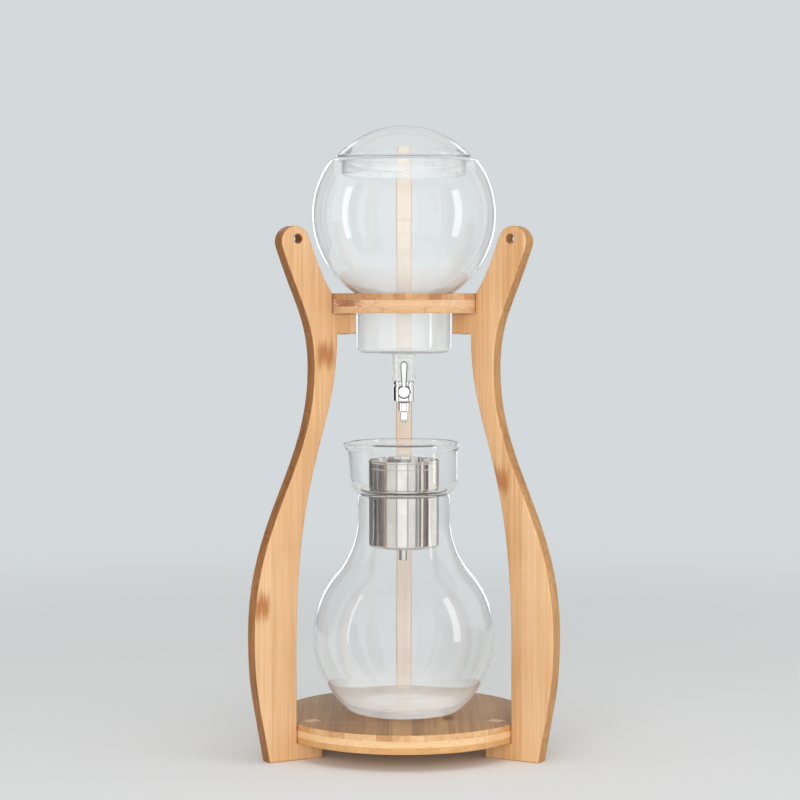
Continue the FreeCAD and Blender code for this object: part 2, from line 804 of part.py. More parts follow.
def make_plug():
    """Plug that turns in the tap body: seal grooves, clip groove, tip for the lever, flow hole."""
    hub_back = -(s.valve_radius + s.lever_gap)
    front = hub_back - s.hub_long
    clip_low = s.valve_radius + s.clip_gap
    clip_high = clip_low + s.clip_thick
    back = s.valve_radius + s.plug_back
    deep = s.plug_radius - s.seal_thick + s.plug_clearance / 2
    half = s.seal_thick / 2
    body = new_body("valve_plug", plug_axis)
    sketch = new_sketch(body, "profile", "XY_Plane")
    outline = Outline(sketch, 0, front)
    outline.line(s.plug_tip, front)
    outline.line(s.plug_tip, hub_back)
    outline.line(s.plug_radius, hub_back)
    for middle in (-s.seal_place, s.seal_place):
        outline.line(s.plug_radius, middle - half)
        outline.line(deep, middle - half)
        outline.line(deep, middle + half)
        outline.line(s.plug_radius, middle + half)
    outline.line(s.plug_radius, clip_low)
    outline.line(s.plug_radius - s.clip_groove, clip_low)
    outline.line(s.plug_radius - s.clip_groove, clip_high)
    outline.line(s.plug_radius, clip_high)
    outline.line(s.plug_radius, back)
    outline.line(0, back)
    outline.close()
    turned(body, sketch)
    flow = new_sketch(body, "flow_hole", "XY_Plane")
    circle(flow, 0, 0, s.flow_radius)
    pocketed(body, flow)

    ring = s.plug_radius - s.seal_thick / 2 + s.plug_clearance / 2
    seals = []
    for name, middle in (("front_seal", -s.seal_place), ("back_seal", s.seal_place)):
        seal = document.addObject("Part::Torus", name)
        bind(seal, Radius1=ring, Radius2=s.seal_thick / 2)
        seal.Placement = FreeCAD.Placement(
            FreeCAD.Vector(0, 0, 0), FreeCAD.Rotation(FreeCAD.Vector(1, 0, 0), 90)
        )
        seal.setExpression("Placement.Base.y", (tower_axis + middle).text)
        seal.setExpression("Placement.Base.z", plug_axis.text)
        seals.append(seal)
    pair = document.addObject("Part::Compound", "plug_seals")
    pair.Label = "plug_seals"
    pair.Links = seals

    clip = new_body("plug_retainer", plug_axis)
    washer = new_sketch(clip, "washer", "XZ_Plane", -clip_high)
    circle(washer, 0, 0, s.clip_radius)
    circle(washer, 0, 0, s.plug_radius - s.clip_groove)
    raised(clip, washer, s.clip_thick)


def make_lever():
    """Round hub on the plug's tip, with a flat handle that widens to its rounded end."""
    hub_back = s.valve_radius + s.lever_gap
    body = new_body("valve_lever", plug_axis)
    hub = new_sketch(body, "hub", "XZ_Plane", hub_back)
    circle(hub, 0, 0, s.lever_hub)
    circle(hub, 0, 0, s.plug_tip)
    raised(body, hub, s.hub_long)
    handle = new_sketch(body, "handle", "XZ_Plane", hub_back + s.hub_long - s.lever_thick)
    start = leg_of(s.lever_hub, s.lever_root) - s.lever_edge
    outline = Outline(handle, s.lever_root, start)
    outline.line(s.lever_tip, s.lever_long)
    outline.arc(s.lever_tip, 0, s.lever_long + s.lever_tip, 1)
    outline.arc(s.lever_tip, -s.lever_tip, s.lever_long, 1)
    outline.line(-s.lever_root, start)
    outline.close()
    raised(body, handle, s.lever_thick)


def groove_point(inset):
    """Where the collar's lower curve and the neck's upper curve cross, both moved inwards."""
    big, small = collar_curve - inset, neck_curve - inset
    across = neck_middle - collar_middle
    drop = groove_rise + s.groove_fillet
    apart = root(across * across + drop * drop)
    along = (big * big - small * small + apart * apart) / (apart * 2)
    off = leg_of(big, along)
    unit_x, unit_z = across / apart, drop / apart
    x = collar_middle + unit_x * along + unit_z * off
    z = collar_low - unit_z * along + unit_x * off
    return x, z


def seam_radius(inset):
    """The neck's radius at the seam where the bulb and the collar are fused."""
    return neck_middle + leg_of(neck_curve - inset, s.groove_fillet)


def bulb_line(sketch, inset):
    """The bulb's half outline from the seam to the base, moved inwards by the wall."""
    round_axis = s.bulb_radius - s.bulb_round
    bulb = carafe_base + s.bulb_height
    side = s.carafe_neck - round_axis
    rise = s.neck_start - s.bulb_height
    round_in = s.bulb_round - inset
    hollow_round = (side * side + rise * rise - s.bulb_round * s.bulb_round) / (
        (s.bulb_round - side) * 2
    )
    high = round_in / (s.bulb_round + hollow_round)
    foot_drop = s.bulb_height - s.foot_round
    foot_side = leg_of(s.bulb_round - s.foot_round, foot_drop)
    low = round_in / (s.bulb_round - s.foot_round)
    neck = s.carafe_neck - inset
    outline = Outline(sketch, 0, carafe_seam)
    outline.line(seam_radius(inset), carafe_seam)
    outline.arc(neck_curve - inset, neck, carafe_seam - s.groove_fillet, -1)
    outline.line(neck, carafe_base + s.neck_start)
    outline.arc(hollow_round + inset, round_axis + (side + hollow_round) * high, bulb + rise * high, 1)
    outline.arc(round_in, s.bulb_radius - inset, bulb, -1)
    outline.arc(round_in, round_axis + foot_side * low, bulb - foot_drop * low, -1)
    outline.arc(s.foot_round - inset, round_axis + foot_side, carafe_base + inset, -1)
    outline.line(0, carafe_base + inset)
    outline.close()


def collar_line(sketch, inset):
    """The collar's half outline from the rim to the seam, moved inwards by the wall."""
    collar = s.collar_radius - inset
    outline = Outline(sketch, 0, carafe_rim)
    if inset is OUTSIDE:
        middle = carafe_rim - s.rim_high / 2
        outline.line(collar + s.rim_reach, carafe_rim)
        outline.curve(
            (collar + s.rim_reach, middle), (collar, middle), (collar, carafe_rim - s.rim_high)
        )
    else:
        outline.line(collar, carafe_rim)
    outline.line(collar, collar_low)
    outline.arc(collar_curve - inset, *groove_point(inset), -1)
    if inset is not OUTSIDE:
        outline.arc(neck_curve - inset, seam_radius(inset), carafe_seam, -1)
    outline.line(0, carafe_seam)
    outline.close()


def make_carafe():
    """Blown glass bulb with its neck, closed at the bottom and open at the seam."""
    body = new_body("carafe")
    outside = new_sketch(body, "outside", "XZ_Plane")
    bulb_line(outside, OUTSIDE)
    turned(body, outside)
    inside = new_sketch(body, "inside", "XZ_Plane")
    bulb_line(inside, s.carafe_wall)
    turned(body, inside, cut=True)


def make_carafe_collar():
    """Glass collar with the rim and the pouring spout, fused to the neck at the groove."""
    body = new_body("carafe_collar")
    outside = new_sketch(body, "outside", "XZ_Plane")
    collar_line(outside, OUTSIDE)
    turned(body, outside)
    spout = body.newObject("PartDesign::AdditiveCone", "spout_outside")
    bind(spout, Radius1=s.spout_root, Radius2=s.spout_radius, Height=s.spout_deep)
    spout.setExpression("Placement.Base.x", (-s.spout_axis).text)
    spout.setExpression("Placement.Base.z", (carafe_rim - s.spout_deep).text)
    document.recompute()
    inside = new_sketch(body, "inside", "XZ_Plane")
    collar_line(inside, s.carafe_wall)
    turned(body, inside, cut=True)
    hollow = body.newObject("PartDesign::SubtractiveCone", "spout_inside")
    bind(
        hollow,
        Radius1=s.spout_root - s.carafe_wall,
        Radius2=s.spout_radius - s.carafe_wall,
        Height=s.spout_deep,
    )
    hollow.setExpression("Placement.Base.x", (-s.spout_axis).text)
    hollow.setExpression("Placement.Base.z", (carafe_rim - s.spout_deep).text)
    document.recompute()


def drilled(body, top, reach, rings, deep):
    """Rings of small holes through a disc, each ring made by a polar pattern."""
    for number, share in enumerate(rings, start=1):
        sketch = new_sketch(body, "holes_%d" % number, "XY_Plane", top)
        circle(sketch, reach * share, 0, s.drip_hole)
        around(body, pocketed(body, sketch, deep), FIRST_RING_HOLES * number)


def make_filter():
    """Steel coffee filter that hangs in the carafe's waist by its flange."""
    sag = leg_of(collar_curve - s.carafe_wall, s.flange_radius - collar_middle)
    seat = collar_low - sag + s.seat_gap
    flange = seat + s.seat_ring_thick
    make_tube("filter_seat_ring", [(s.flange_radius, seat, flange)], s.seat_ring_inside)

    wall = s.filter_radius - s.sheet
    spigot_out = wall - s.spigot_gap
    spigot_in = spigot_out - s.sheet
    top = flange + s.sheet + s.collar_high
    bead = s.filter_radius + s.collar_bead
    body = new_body("filter_collar")
    sketch = new_sketch(body, "wall", "XZ_Plane")
    outline = Outline(sketch, wall, top)
    outline.line(bead, top)
    outline.line(bead, top - s.collar_bead_high)
    outline.line(s.filter_radius, top - s.collar_bead_high)
    outline.line(s.filter_radius, flange + s.sheet)
    outline.line(s.flange_radius, flange + s.sheet)
    outline.line(s.flange_radius, flange)
    outline.line(spigot_out, flange)
    outline.line(spigot_out, flange - s.spigot_long)
    outline.line(spigot_in, flange - s.spigot_long)
    outline.line(spigot_in, flange + s.sheet)
    outline.line(wall, flange + s.sheet)
    outline.close()
    turned(body, sketch)

    floor = flange - s.can_high
    body = new_body("filter_can")
    sketch = new_sketch(body, "wall", "XZ_Plane")
    inner_corner = s.can_corner - s.sheet
    outline = Outline(sketch, s.filter_radius, flange)
    outline.line(s.filter_radius, floor + s.can_corner)
    outline.arc(s.can_corner, s.filter_radius - s.can_corner, floor, -1)
    outline.line(s.stub_radius, floor)
    outline.line(s.stub_radius, floor + s.sheet)
    outline.line(s.filter_radius - s.can_corner, floor + s.sheet)
    outline.arc(inner_corner, wall, floor + s.can_corner, 1)
    outline.line(wall, flange)
    outline.close()
    turned(body, sketch)

    stub_low = floor - s.stub_long
    make_tube(
        "filter_nozzle",
        [
            (s.stub_flange, floor + s.sheet, floor + s.sheet * 2),
            (s.stub_radius, stub_low, floor + s.sheet),
        ],
        s.stub_bore,
    )

    mesh_out = wall - s.mesh_gap
    corner_middle = s.filter_radius - s.can_corner
    mesh_low = floor + s.can_corner - leg_of(inner_corner, mesh_out - corner_middle)
    mesh_top = mesh_low + s.mesh_leg
    body = new_body("filter_mesh")
    sketch = new_sketch(body, "wall", "XZ_Plane")
    outline = Outline(sketch, 0, mesh_top)
    outline.line(mesh_out, mesh_top)
    outline.line(mesh_out, mesh_low)
    outline.line(mesh_out - s.mesh_sheet, mesh_low)
    outline.line(mesh_out - s.mesh_sheet, mesh_top - s.mesh_sheet)
    outline.line(0, mesh_top - s.mesh_sheet)
    outline.close()
    turned(body, sketch)
    drilled(body, mesh_top, mesh_out, MESH_RINGS, s.mesh_sheet)

    disc_out = wall - s.disc_gap
    disc_low = flange + s.sheet + s.disc_seat_gap
    disc_top = disc_low + s.disc_sheet
    body = new_body("distributor_disc")
    sketch = new_sketch(body, "wall", "XZ_Plane")
    outline = Outline(sketch, 0, disc_top + s.disc_knob_high)
    outline.line(s.disc_knob, disc_top + s.disc_knob_high)
    outline.line(s.disc_knob, disc_top)
    outline.line(disc_out, disc_top)
    outline.line(disc_out, disc_low)
    outline.line(0, disc_low)
    outline.close()
    turned(body, sketch)
    drilled(body, disc_top, disc_out, DISC_RINGS, s.disc_sheet)


NODES = [
    "leg_front_left", "leg_front_right", "leg_back", "base_board", "upper_ring", "ring_screws",
    "globe", "lid", "outlet_stopper", "valve_stem", "valve_body", "valve_plug", "plug_seals",
    "plug_retainer", "valve_lever", "valve_nozzle", "nozzle_seal", "carafe", "carafe_collar",
    "filter_seat_ring", "filter_collar", "filter_can", "filter_mesh", "filter_nozzle",
    "distributor_disc",
]


def write_parts():
    """Stops at a failed object, then writes each piece to its own file."""
    for item in document.Objects:
        if "Invalid" in item.State or "Error" in item.State:
            raise RuntimeError("failed: %s %s" % (item.Name, item.State))
    os.makedirs("parts", exist_ok=True)
    pieces = {item.Label: item for item in document.Objects}
    for node in NODES:
        shape = pieces[node].Shape
        if shape.isNull() or not shape.isValid():
            raise RuntimeError("bad shape: " + node)
        shape.exportStep("parts/%s.step" % node)
        box = shape.BoundBox
        print("%-18s solids %d volume %9.0f x %7.1f %7.1f y %7.1f %7.1f z %6.1f %6.1f" % (
            node, len(shape.Solids), shape.Volume, box.XMin, box.XMax, box.YMin, box.YMax,
            box.ZMin, box.ZMax))


for leg_name, leg_angle in LEG_ANGLES.items():
    make_leg(leg_name, leg_angle, tall=leg_name == "leg_back")
make_base_board()
make_upper_ring()
make_ring_screws()
make_globe()
make_lid()
make_tap()
make_plug()
make_lever()
make_carafe()
make_carafe_collar()
make_filter()
document.recompute()
write_parts()
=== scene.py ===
import math

import bmesh
import bpy
from mathutils import Matrix, Vector


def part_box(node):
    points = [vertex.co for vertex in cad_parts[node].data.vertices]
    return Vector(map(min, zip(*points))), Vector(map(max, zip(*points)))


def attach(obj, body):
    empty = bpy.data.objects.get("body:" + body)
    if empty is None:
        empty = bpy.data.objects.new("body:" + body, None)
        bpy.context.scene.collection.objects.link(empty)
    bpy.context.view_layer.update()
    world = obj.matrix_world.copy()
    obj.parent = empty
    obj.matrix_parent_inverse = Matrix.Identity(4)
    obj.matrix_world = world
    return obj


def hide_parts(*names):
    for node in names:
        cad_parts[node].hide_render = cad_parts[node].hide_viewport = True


# A cold drip coffee tower: a bamboo stand, a glass water globe with a drip tap, and a glass
# carafe with a steel coffee filter in its neck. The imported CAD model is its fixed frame.
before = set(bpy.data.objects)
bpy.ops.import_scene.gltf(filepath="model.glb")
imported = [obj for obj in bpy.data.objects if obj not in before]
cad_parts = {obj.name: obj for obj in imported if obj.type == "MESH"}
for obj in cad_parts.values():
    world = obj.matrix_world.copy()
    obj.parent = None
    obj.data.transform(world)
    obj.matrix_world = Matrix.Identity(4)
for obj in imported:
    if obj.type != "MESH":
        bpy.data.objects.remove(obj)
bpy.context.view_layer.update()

# Base board. A round board of three crossed bamboo plies, glued, cut and sanded, then satin
# lacquered. The feet's tenons come up through three mortises in it and are cut flush.
MM = 0.001
ring_low, ring_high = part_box("upper_ring")
TOWER = Vector(((ring_low.x + ring_high.x) / 2, (ring_low.y + ring_high.y) / 2, 0))
BASE_RADIUS, BASE_BOTTOM, BASE_TOP = 97.3, 13.0, 28.0
BOARD_ROUND, FACE_TILT = 0.9, 0.6
TENON_NEAR, TENON_LONG, TENON_WIDE, MORTISE_GAP = 76.1, 11.0, 10.0, 0.12
LEG_ANGLES = {"leg_front_left": 210.0, "leg_front_right": -30.0, "leg_back": 90.0}
CIRCLE_HANDLE = 0.5523
CURVE_STEPS = 20
SAME_PLACE, SLIVER = 0.01, 0.005
FLAT_ANGLE = math.radians(32)
TOP_STRIP, EDGE_STRIP, PLY_STRIP = 9.0, 12.0, 40.0
FIBRE_WIDE, FIBRE_LONG, BAND_WIDE, BAND_LONG, CLOUD = 1.1, 83.0, 3.6, 165.0, 50.0
FIBRE_SHARE, CLOUD_SHARE, STRIP_SHARE, DARKEST, PALEST = 1.25, 0.6, 0.35, 1.25, 2.35
KNOT_RAGGED, KNOT_CORE, KNOT_EDGE, KNOT_SHORT, KNOT_LONG = 26.0, 0.30, 0.52, 2.0, 14.0
KNOT_DEPTH, GLUE_WIDE, GLUE_DEPTH = 0.85, 0.25, 0.3


def linear(code):
    """An sRGB hex colour as the linear colour that a shader takes."""
    shares = [int(code[i:i + 2], 16) / 255 for i in (0, 2, 4)]
    return [s / 12.92 if s <= 0.04045 else ((s + 0.055) / 1.055) ** 2.4 for s in shares] + [1]


def add(tree, kind, inputs=None, out=0, stops=None, **settings):
    """Adds a node with its settings, plain inputs and links, and returns one of its outputs."""
    node = tree.nodes.new("ShaderNode" + kind)
    for name, value in settings.items():
        setattr(node, name, value)
    for place, (position, colour) in enumerate(stops or []):
        marks = node.color_ramp.elements
        mark = marks[place] if place < len(marks) else marks.new(position)
        mark.position, mark.color = position, colour
    for name, value in (inputs or {}).items():
        if isinstance(value, bpy.types.NodeSocket):
            tree.links.new(value, node.inputs[name])
        else:
            node.inputs[name].default_value = value
    return node.outputs[out]


def new_material(name):
    """An empty node material, with its tree and the socket that its surface goes to."""
    material = bpy.data.materials.new(name)
    material.use_nodes = True
    tree = material.node_tree
    tree.nodes.clear()
    end = tree.nodes.new("ShaderNodeOutputMaterial")
    return material, tree, end.inputs["Surface"]


def bamboo(name, turn, strip, tones, knot, knots, seed, gloss=0.3, contrast=0.7):
    """Glued bamboo strips under satin lacquer. Turned to the piece, X runs across the strips, Y
    through the board and Z along the grain. The strips differ a little in tone. Their fibres are
    0.3 mm thick, drawn 1.1 mm so that they show, in bands of about 3.6 mm and clouds of 50 mm.
    Growth knots, given by their middles, darken one strip each."""
    material, tree, surface = new_material(name)
    where = add(tree, "TexCoord", out="Object")
    where = add(tree, "VectorMath", {0: where, 1: TOWER}, operation="SUBTRACT")
    scaled = add(tree, "Mapping", {"Vector": where, "Rotation": turn, "Scale": [1000] * 3})
    x = add(tree, "SeparateXYZ", {0: scaled}, out="X")
    z = add(tree, "SeparateXYZ", {0: scaled}, out="Z")
    cell = add(tree, "Math", {0: x, 1: strip}, operation="DIVIDE")
    cell = add(tree, "Math", {0: cell, 1: seed}, operation="ADD")
    number = add(tree, "Math", {0: cell}, operation="FLOOR")
    share = add(tree, "Math", {0: cell}, operation="FRACT")
    luck = add(tree, "TexWhiteNoise", {"W": number}, noise_dimensions="1D")

    band = (1 / BAND_WIDE, 1 / BAND_WIDE, 1 / BAND_LONG)
    wide = add(tree, "Mapping", {"Vector": scaled, "Scale": band})
    soft = add(tree, "TexNoise", {"Vector": wide, "Scale": 1.0, "Detail": 2.0})
    fibre = (1 / FIBRE_WIDE, 1 / FIBRE_WIDE, 1 / FIBRE_LONG)
    thin = add(tree, "Mapping", {"Vector": scaled, "Scale": fibre})
    fine = add(tree, "TexNoise", {"Vector": thin, "Scale": 1.0, "Detail": 3.0})
    cloud = add(tree, "TexNoise", {"Vector": scaled, "Scale": 1 / CLOUD, "Detail": 2.0})
    tone = add(tree, "Math", {0: fine, 1: FIBRE_SHARE, 2: soft}, operation="MULTIPLY_ADD")
    luck = add(tree, "MapRange", {"Value": luck, "To Min": STRIP_SHARE - contrast / 2,
                                  "To Max": STRIP_SHARE + contrast / 2})
    tone = add(tree, "Math", {0: luck, 1: tone}, operation="ADD")
    tone = add(tree, "Math", {0: cloud, 1: CLOUD_SHARE, 2: tone}, operation="MULTIPLY_ADD")
    pale, middle, dark = (linear(code) for code in tones)
    wood = add(tree, "MapRange", {"Value": tone, "From Min": DARKEST, "From Max": PALEST})
    wood = add(tree, "ValToRGB", {0: wood}, stops=[(0.0, dark), (0.5, middle), (1.0, pale)])

    # Growth knots: a darker patch across one strip, ragged along the fibres.
    ragged = add(tree, "Math", {0: fine, 1: KNOT_RAGGED, 2: z}, operation="MULTIPLY_ADD")
    for knot_x, knot_z in knots:
        beside = add(tree, "Math", {0: x, 1: -knot_x}, operation="ADD")
        beside = add(tree, "Math", {0: beside}, operation="ABSOLUTE")
        beside = add(tree, "MapRange", {
            "Value": beside, "From Min": strip * KNOT_CORE, "From Max": strip * KNOT_EDGE,
            "To Min": 1.0, "To Max": 0.0,
        })
        above = add(tree, "Math", {0: ragged, 1: -KNOT_RAGGED / 2 - knot_z}, operation="ADD")
        above = add(tree, "Math", {0: above}, operation="ABSOLUTE")
        above = add(tree, "MapRange", {
            "Value": above, "From Min": KNOT_SHORT, "From Max": KNOT_LONG,
            "To Min": KNOT_DEPTH, "To Max": 0.0,
        }, interpolation_type="SMOOTHSTEP")
        patch = add(tree, "Math", {0: beside, 1: above}, operation="MULTIPLY")
        wood = add(tree, "Mix", {0: patch, 6: wood, 7: linear(knot)}, out=2, data_type="RGBA")

    # Glue lines between the strips. Their real 0.1 mm is drawn 0.25 mm wide so that they show.
    off = add(tree, "Math", {0: share, 1: 0.5}, operation="SUBTRACT")
    off = add(tree, "Math", {0: off}, operation="ABSOLUTE")
    glue = add(tree, "MapRange", {"Value": off, "From Min": 0.5 - GLUE_WIDE / strip,
                                  "From Max": 0.5, "To Max": GLUE_DEPTH})
    wood = add(tree, "Mix", {0: glue, 6: wood, 7: linear(knot)}, out=2, data_type="RGBA")

    rough = add(tree, "MapRange", {"Value": fine, "To Min": 0.38, "To Max": 0.55})
    bump = add(tree, "Bump", {"Height": fine, "Strength": 0.15, "Distance": 0.0002})
    shader = add(tree, "BsdfPrincipled", {
        "Base Color": wood, "Roughness": rough, "Normal": bump, "IOR": 1.5,
        "Specular IOR Level": gloss,
    })
    tree.links.new(shader, surface)
    return material


def plate(name, rounds, thick, soft_edge):
    """Cuts a flat board: closed outlines of (handle, handle, end) runs, given a thickness and
    rounded edges. A run with no handles is straight. It lies in XY with its middle at zero."""
    curve = bpy.data.curves.new(name, "CURVE")
    curve.dimensions = "2D"
    curve.fill_mode = "BOTH"
    for runs in rounds:
        spline = curve.splines.new("BEZIER")
        spline.use_cyclic_u = True
        spline.resolution_u = CURVE_STEPS
        spline.bezier_points.add(len(runs) - 1)
        for place, point in enumerate(spline.bezier_points):
            before, after = runs[place], runs[(place + 1) % len(runs)]
            corner = before[2]
            point.co = (*corner, 0)
            point.handle_left_type = point.handle_right_type = "FREE"
            point.handle_left = (*(before[1] or corner), 0)
            point.handle_right = (*(after[0] or corner), 0)
    curve.extrude = thick / 2 - soft_edge
    curve.bevel_depth = soft_edge
    curve.bevel_resolution = 2
    curve.offset = -soft_edge
    holder = bpy.data.objects.new(name, curve)
    bpy.context.scene.collection.objects.link(holder)
    bm = bmesh.new()
    bm.from_mesh(bpy.data.meshes.new_from_object(holder))
    bpy.data.objects.remove(holder)
    bmesh.ops.remove_doubles(bm, verts=bm.verts, dist=SAME_PLACE)
    bmesh.ops.dissolve_degenerate(bm, edges=bm.edges, dist=SLIVER)
    bmesh.ops.recalc_face_normals(bm, faces=bm.faces)
    return bm


def round_outline(radius):
    """A circle as four runs."""
    reach = radius * CIRCLE_HANDLE
    return [
        ((radius, reach), (reach, radius), (0, radius)),
        ((-reach, radius), (-radius, reach), (-radius, 0)),
        ((-radius, -reach), (-reach, -radius), (0, -radius)),
        ((reach, -radius), (radius, -reach), (radius, 0)),
    ]


def finish_piece(name, bm, body, materials, nodes):
    """Turns a mesh in millimetres about the tower's axis into a finished piece of a CAD body."""
    bmesh.ops.scale(bm, vec=[MM] * 3, verts=bm.verts)
    bmesh.ops.translate(bm, vec=TOWER, verts=bm.verts)
    mesh = bpy.data.meshes.new(name)
    bm.to_mesh(mesh)
    bm.free()
    for material in materials:
        mesh.materials.append(material)
    mesh.shade_smooth()
    mesh.set_sharp_from_angle(angle=FLAT_ANGLE)
    piece = bpy.data.objects.new(name, mesh)
    bpy.context.scene.collection.objects.link(piece)
    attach(piece, body)
    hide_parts(*nodes)


def ply(name, tones, glue, knots, seed):
    """The sawn edge of a ply whose broad strips lie across the board."""
    across = (0, math.radians(90), math.radians(90))
    return bamboo(name, across, PLY_STRIP, tones, glue, knots, seed, contrast=0.2)


LYING = (math.radians(90), 0, 0)
# The board's top face has darker tones than the other bamboo faces: painted shade under the tower.
board_top_painted_shade = bamboo("bamboo_board_lacquered", LYING, TOP_STRIP, ("C49A68", "AC8153", "8E6742"),
                  "6E4828", [(-20, 60), (34, -30)], 3.3)
top_edge = bamboo("bamboo_end_grain", LYING, EDGE_STRIP, ("EFC99A", "DFAF7C", "C28E5E"), "9A6238",
                  [], 5.7)
middle_edge = ply("bamboo_middle_ply", ("F6D4A6", "F0C896", "E2B27E"), "C08C58", [], 8.1)
low_edge = ply("bamboo_low_ply", ("E8BA84", "DCA970", "CB955C"), "9A6238", [], 6.4)


def mortise(azimuth):
    """The rectangle that a foot's tenon fills, as four straight runs."""
    turn = Matrix.Rotation(math.radians(azimuth), 2)
    near, far = TENON_NEAR - MORTISE_GAP, TENON_NEAR + TENON_LONG + MORTISE_GAP
    half = TENON_WIDE / 2 + MORTISE_GAP
    corners = [(near, -half), (far, -half), (far, half), (near, half)]
    return [(None, None, tuple(turn @ Vector(corner))) for corner in corners]


def board(name, rounds, bottom, top):
    """A round board of three plies. Its materials are the top face's, then each ply's edge."""
    bm = plate(name, rounds, top - bottom, BOARD_ROUND)
    bmesh.ops.translate(bm, vec=(0, 0, (top + bottom) / 2), verts=bm.verts)
    high_joint, low_joint = (top * 2 + bottom) / 3, (top + bottom * 2) / 3
    for joint in (high_joint, low_joint):
        everything = bm.verts[:] + bm.edges[:] + bm.faces[:]
        bmesh.ops.bisect_plane(bm, geom=everything, plane_co=(0, 0, joint), plane_no=(0, 0, 1))
    for face in bm.faces:
        height = face.calc_center_median().z
        if height > high_joint:
            face.material_index = int(face.normal.z < FACE_TILT)
        else:
            face.material_index = 2 + int(height < low_joint)
    return bm


bm = board("base_disc", [round_outline(BASE_RADIUS)] + [mortise(a) for a in LEG_ANGLES.values()],
           BASE_BOTTOM, BASE_TOP)
finish_piece("base_disc", bm, "stand", [board_top_painted_shade, top_edge, middle_edge, low_edge],
             ["base_board"])

# Legs. Each is one plate sawn from upright bamboo strips, with its foot, belly, waist, bracket
# and rounded horn in one outline, sanded round at the edges. The front legs' sawn edges are
# browner than their faces. The front left leg's edges are painted darker than the right's, as
# painted shade. The back leg's inner edge faces the light and is painted near white, as painted
# light.
LEG_THICK, LEG_ROUND, LEG_STRIP, EDGE_TILT = 13.0, 1.3, 17.0, 0.3
FOOT_END, FOOT_HEIGHT = 75.5, 13.0
BOARD_SIDE, STRAIGHT_HEIGHT = 97.6, 86.0
RING_SIDE, RING_TOP, RING_BOTTOM = 66.3, 355.7, 340.7
BRACKET_TOP, BRACKET_BOTTOM, BRACKET_END = 340.2, 324.5, 46.0
FOOT_OUT, BELLY_OUT, BELLY_HEIGHT, WAIST_OUT, WAIST_HEIGHT = 120.7, 133.2, 97.0, 81.9, 298.0
WAIST_IN, TENON_ROOT = 62.1, 2.0
FOOT_HANDLE, BELLY_BOW_LOW, BELLY_BOW_HIGH = (129.2, 47.2), 40.5, 90.0
WAIST_BOW_LOW, WAIST_BOW_HIGH, INNER_BOW_LOW, INNER_BOW_HIGH = 76.5, 37.5, 147.0, 76.0
RING_BOW_OUT, RING_BOW_UP = 8.0, 10.2
HORN_ROUND, HORN_LEAN, HORN_BOW, HORN_INNER_BOW = 12.0, 19.5, 48.0, 15.0
FRONT_HORN, BACK_HORN, BACK_STRAIGHT = (97.5, 394.5), (100.0, 470.0), 425.0
BACK_BOW, BACK_INNER_BOW = 62.0, 26.0
HANG_HOLE, HOLE_IN, HOLE_UP = 3.5, 1.8, 2.3


def quarter(centre, start_angle, radius):
    """A quarter circle, anticlockwise, as one run."""
    reach = radius * CIRCLE_HANDLE
    turn = Matrix.Rotation(math.radians(start_angle), 2)
    places = ((radius, reach), (reach, radius), (0, radius))
    return tuple(tuple(Vector(centre) + turn @ Vector(place)) for place in places)


def leg_outline(horn, tall):
    """The leg's outline, up its outer side from the foot and down its inner side."""
    lean = 0 if tall else HORN_LEAN
    along = Vector((math.sin(math.radians(lean)), math.cos(math.radians(lean))))
    side = Vector((along.y, -along.x))
    out = Vector(horn) + side * HORN_ROUND
    back = Vector(horn) - side * HORN_ROUND
    belly, waist = (BELLY_OUT, BELLY_HEIGHT), (WAIST_OUT, WAIST_HEIGHT)
    runs = [
        (FOOT_HANDLE, (BELLY_OUT, BELLY_HEIGHT - BELLY_BOW_LOW), belly),
        ((BELLY_OUT, BELLY_HEIGHT + BELLY_BOW_HIGH), (WAIST_OUT, WAIST_HEIGHT - WAIST_BOW_LOW),
         waist),
    ]
    rise = (WAIST_OUT, WAIST_HEIGHT + WAIST_BOW_HIGH)
    if tall:
        low = (out.x, BACK_STRAIGHT)
        runs.append((rise, (out.x, BACK_STRAIGHT - BACK_BOW), low))
        runs.append((None, None, tuple(out)))
    else:
        runs.append((rise, tuple(out - along * HORN_BOW), tuple(out)))
    runs.append(quarter(horn, -lean, HORN_ROUND))
    runs.append(quarter(horn, 90 - lean, HORN_ROUND))
    start, bow = back, HORN_INNER_BOW
    if tall:
        start, bow = Vector((back.x, BACK_STRAIGHT)), BACK_INNER_BOW
        runs.append((None, None, tuple(start)))
    runs.append((tuple(start - along * bow), (RING_SIDE + RING_BOW_OUT, RING_TOP + RING_BOW_UP),
                 (RING_SIDE, RING_TOP)))
    for corner in ((RING_SIDE, BRACKET_TOP), (BRACKET_END, BRACKET_TOP),
                   (BRACKET_END, BRACKET_BOTTOM), (WAIST_IN, BRACKET_BOTTOM)):
        runs.append((None, None, corner))
    runs.append(((WAIST_IN, BRACKET_BOTTOM - INNER_BOW_HIGH),
                 (BOARD_SIDE, STRAIGHT_HEIGHT + INNER_BOW_LOW), (BOARD_SIDE, STRAIGHT_HEIGHT)))
    for corner in ((BOARD_SIDE, FOOT_HEIGHT), (FOOT_END, FOOT_HEIGHT), (FOOT_END, 0),
                   (FOOT_OUT, 0)):
        runs.append((None, None, corner))
    return runs


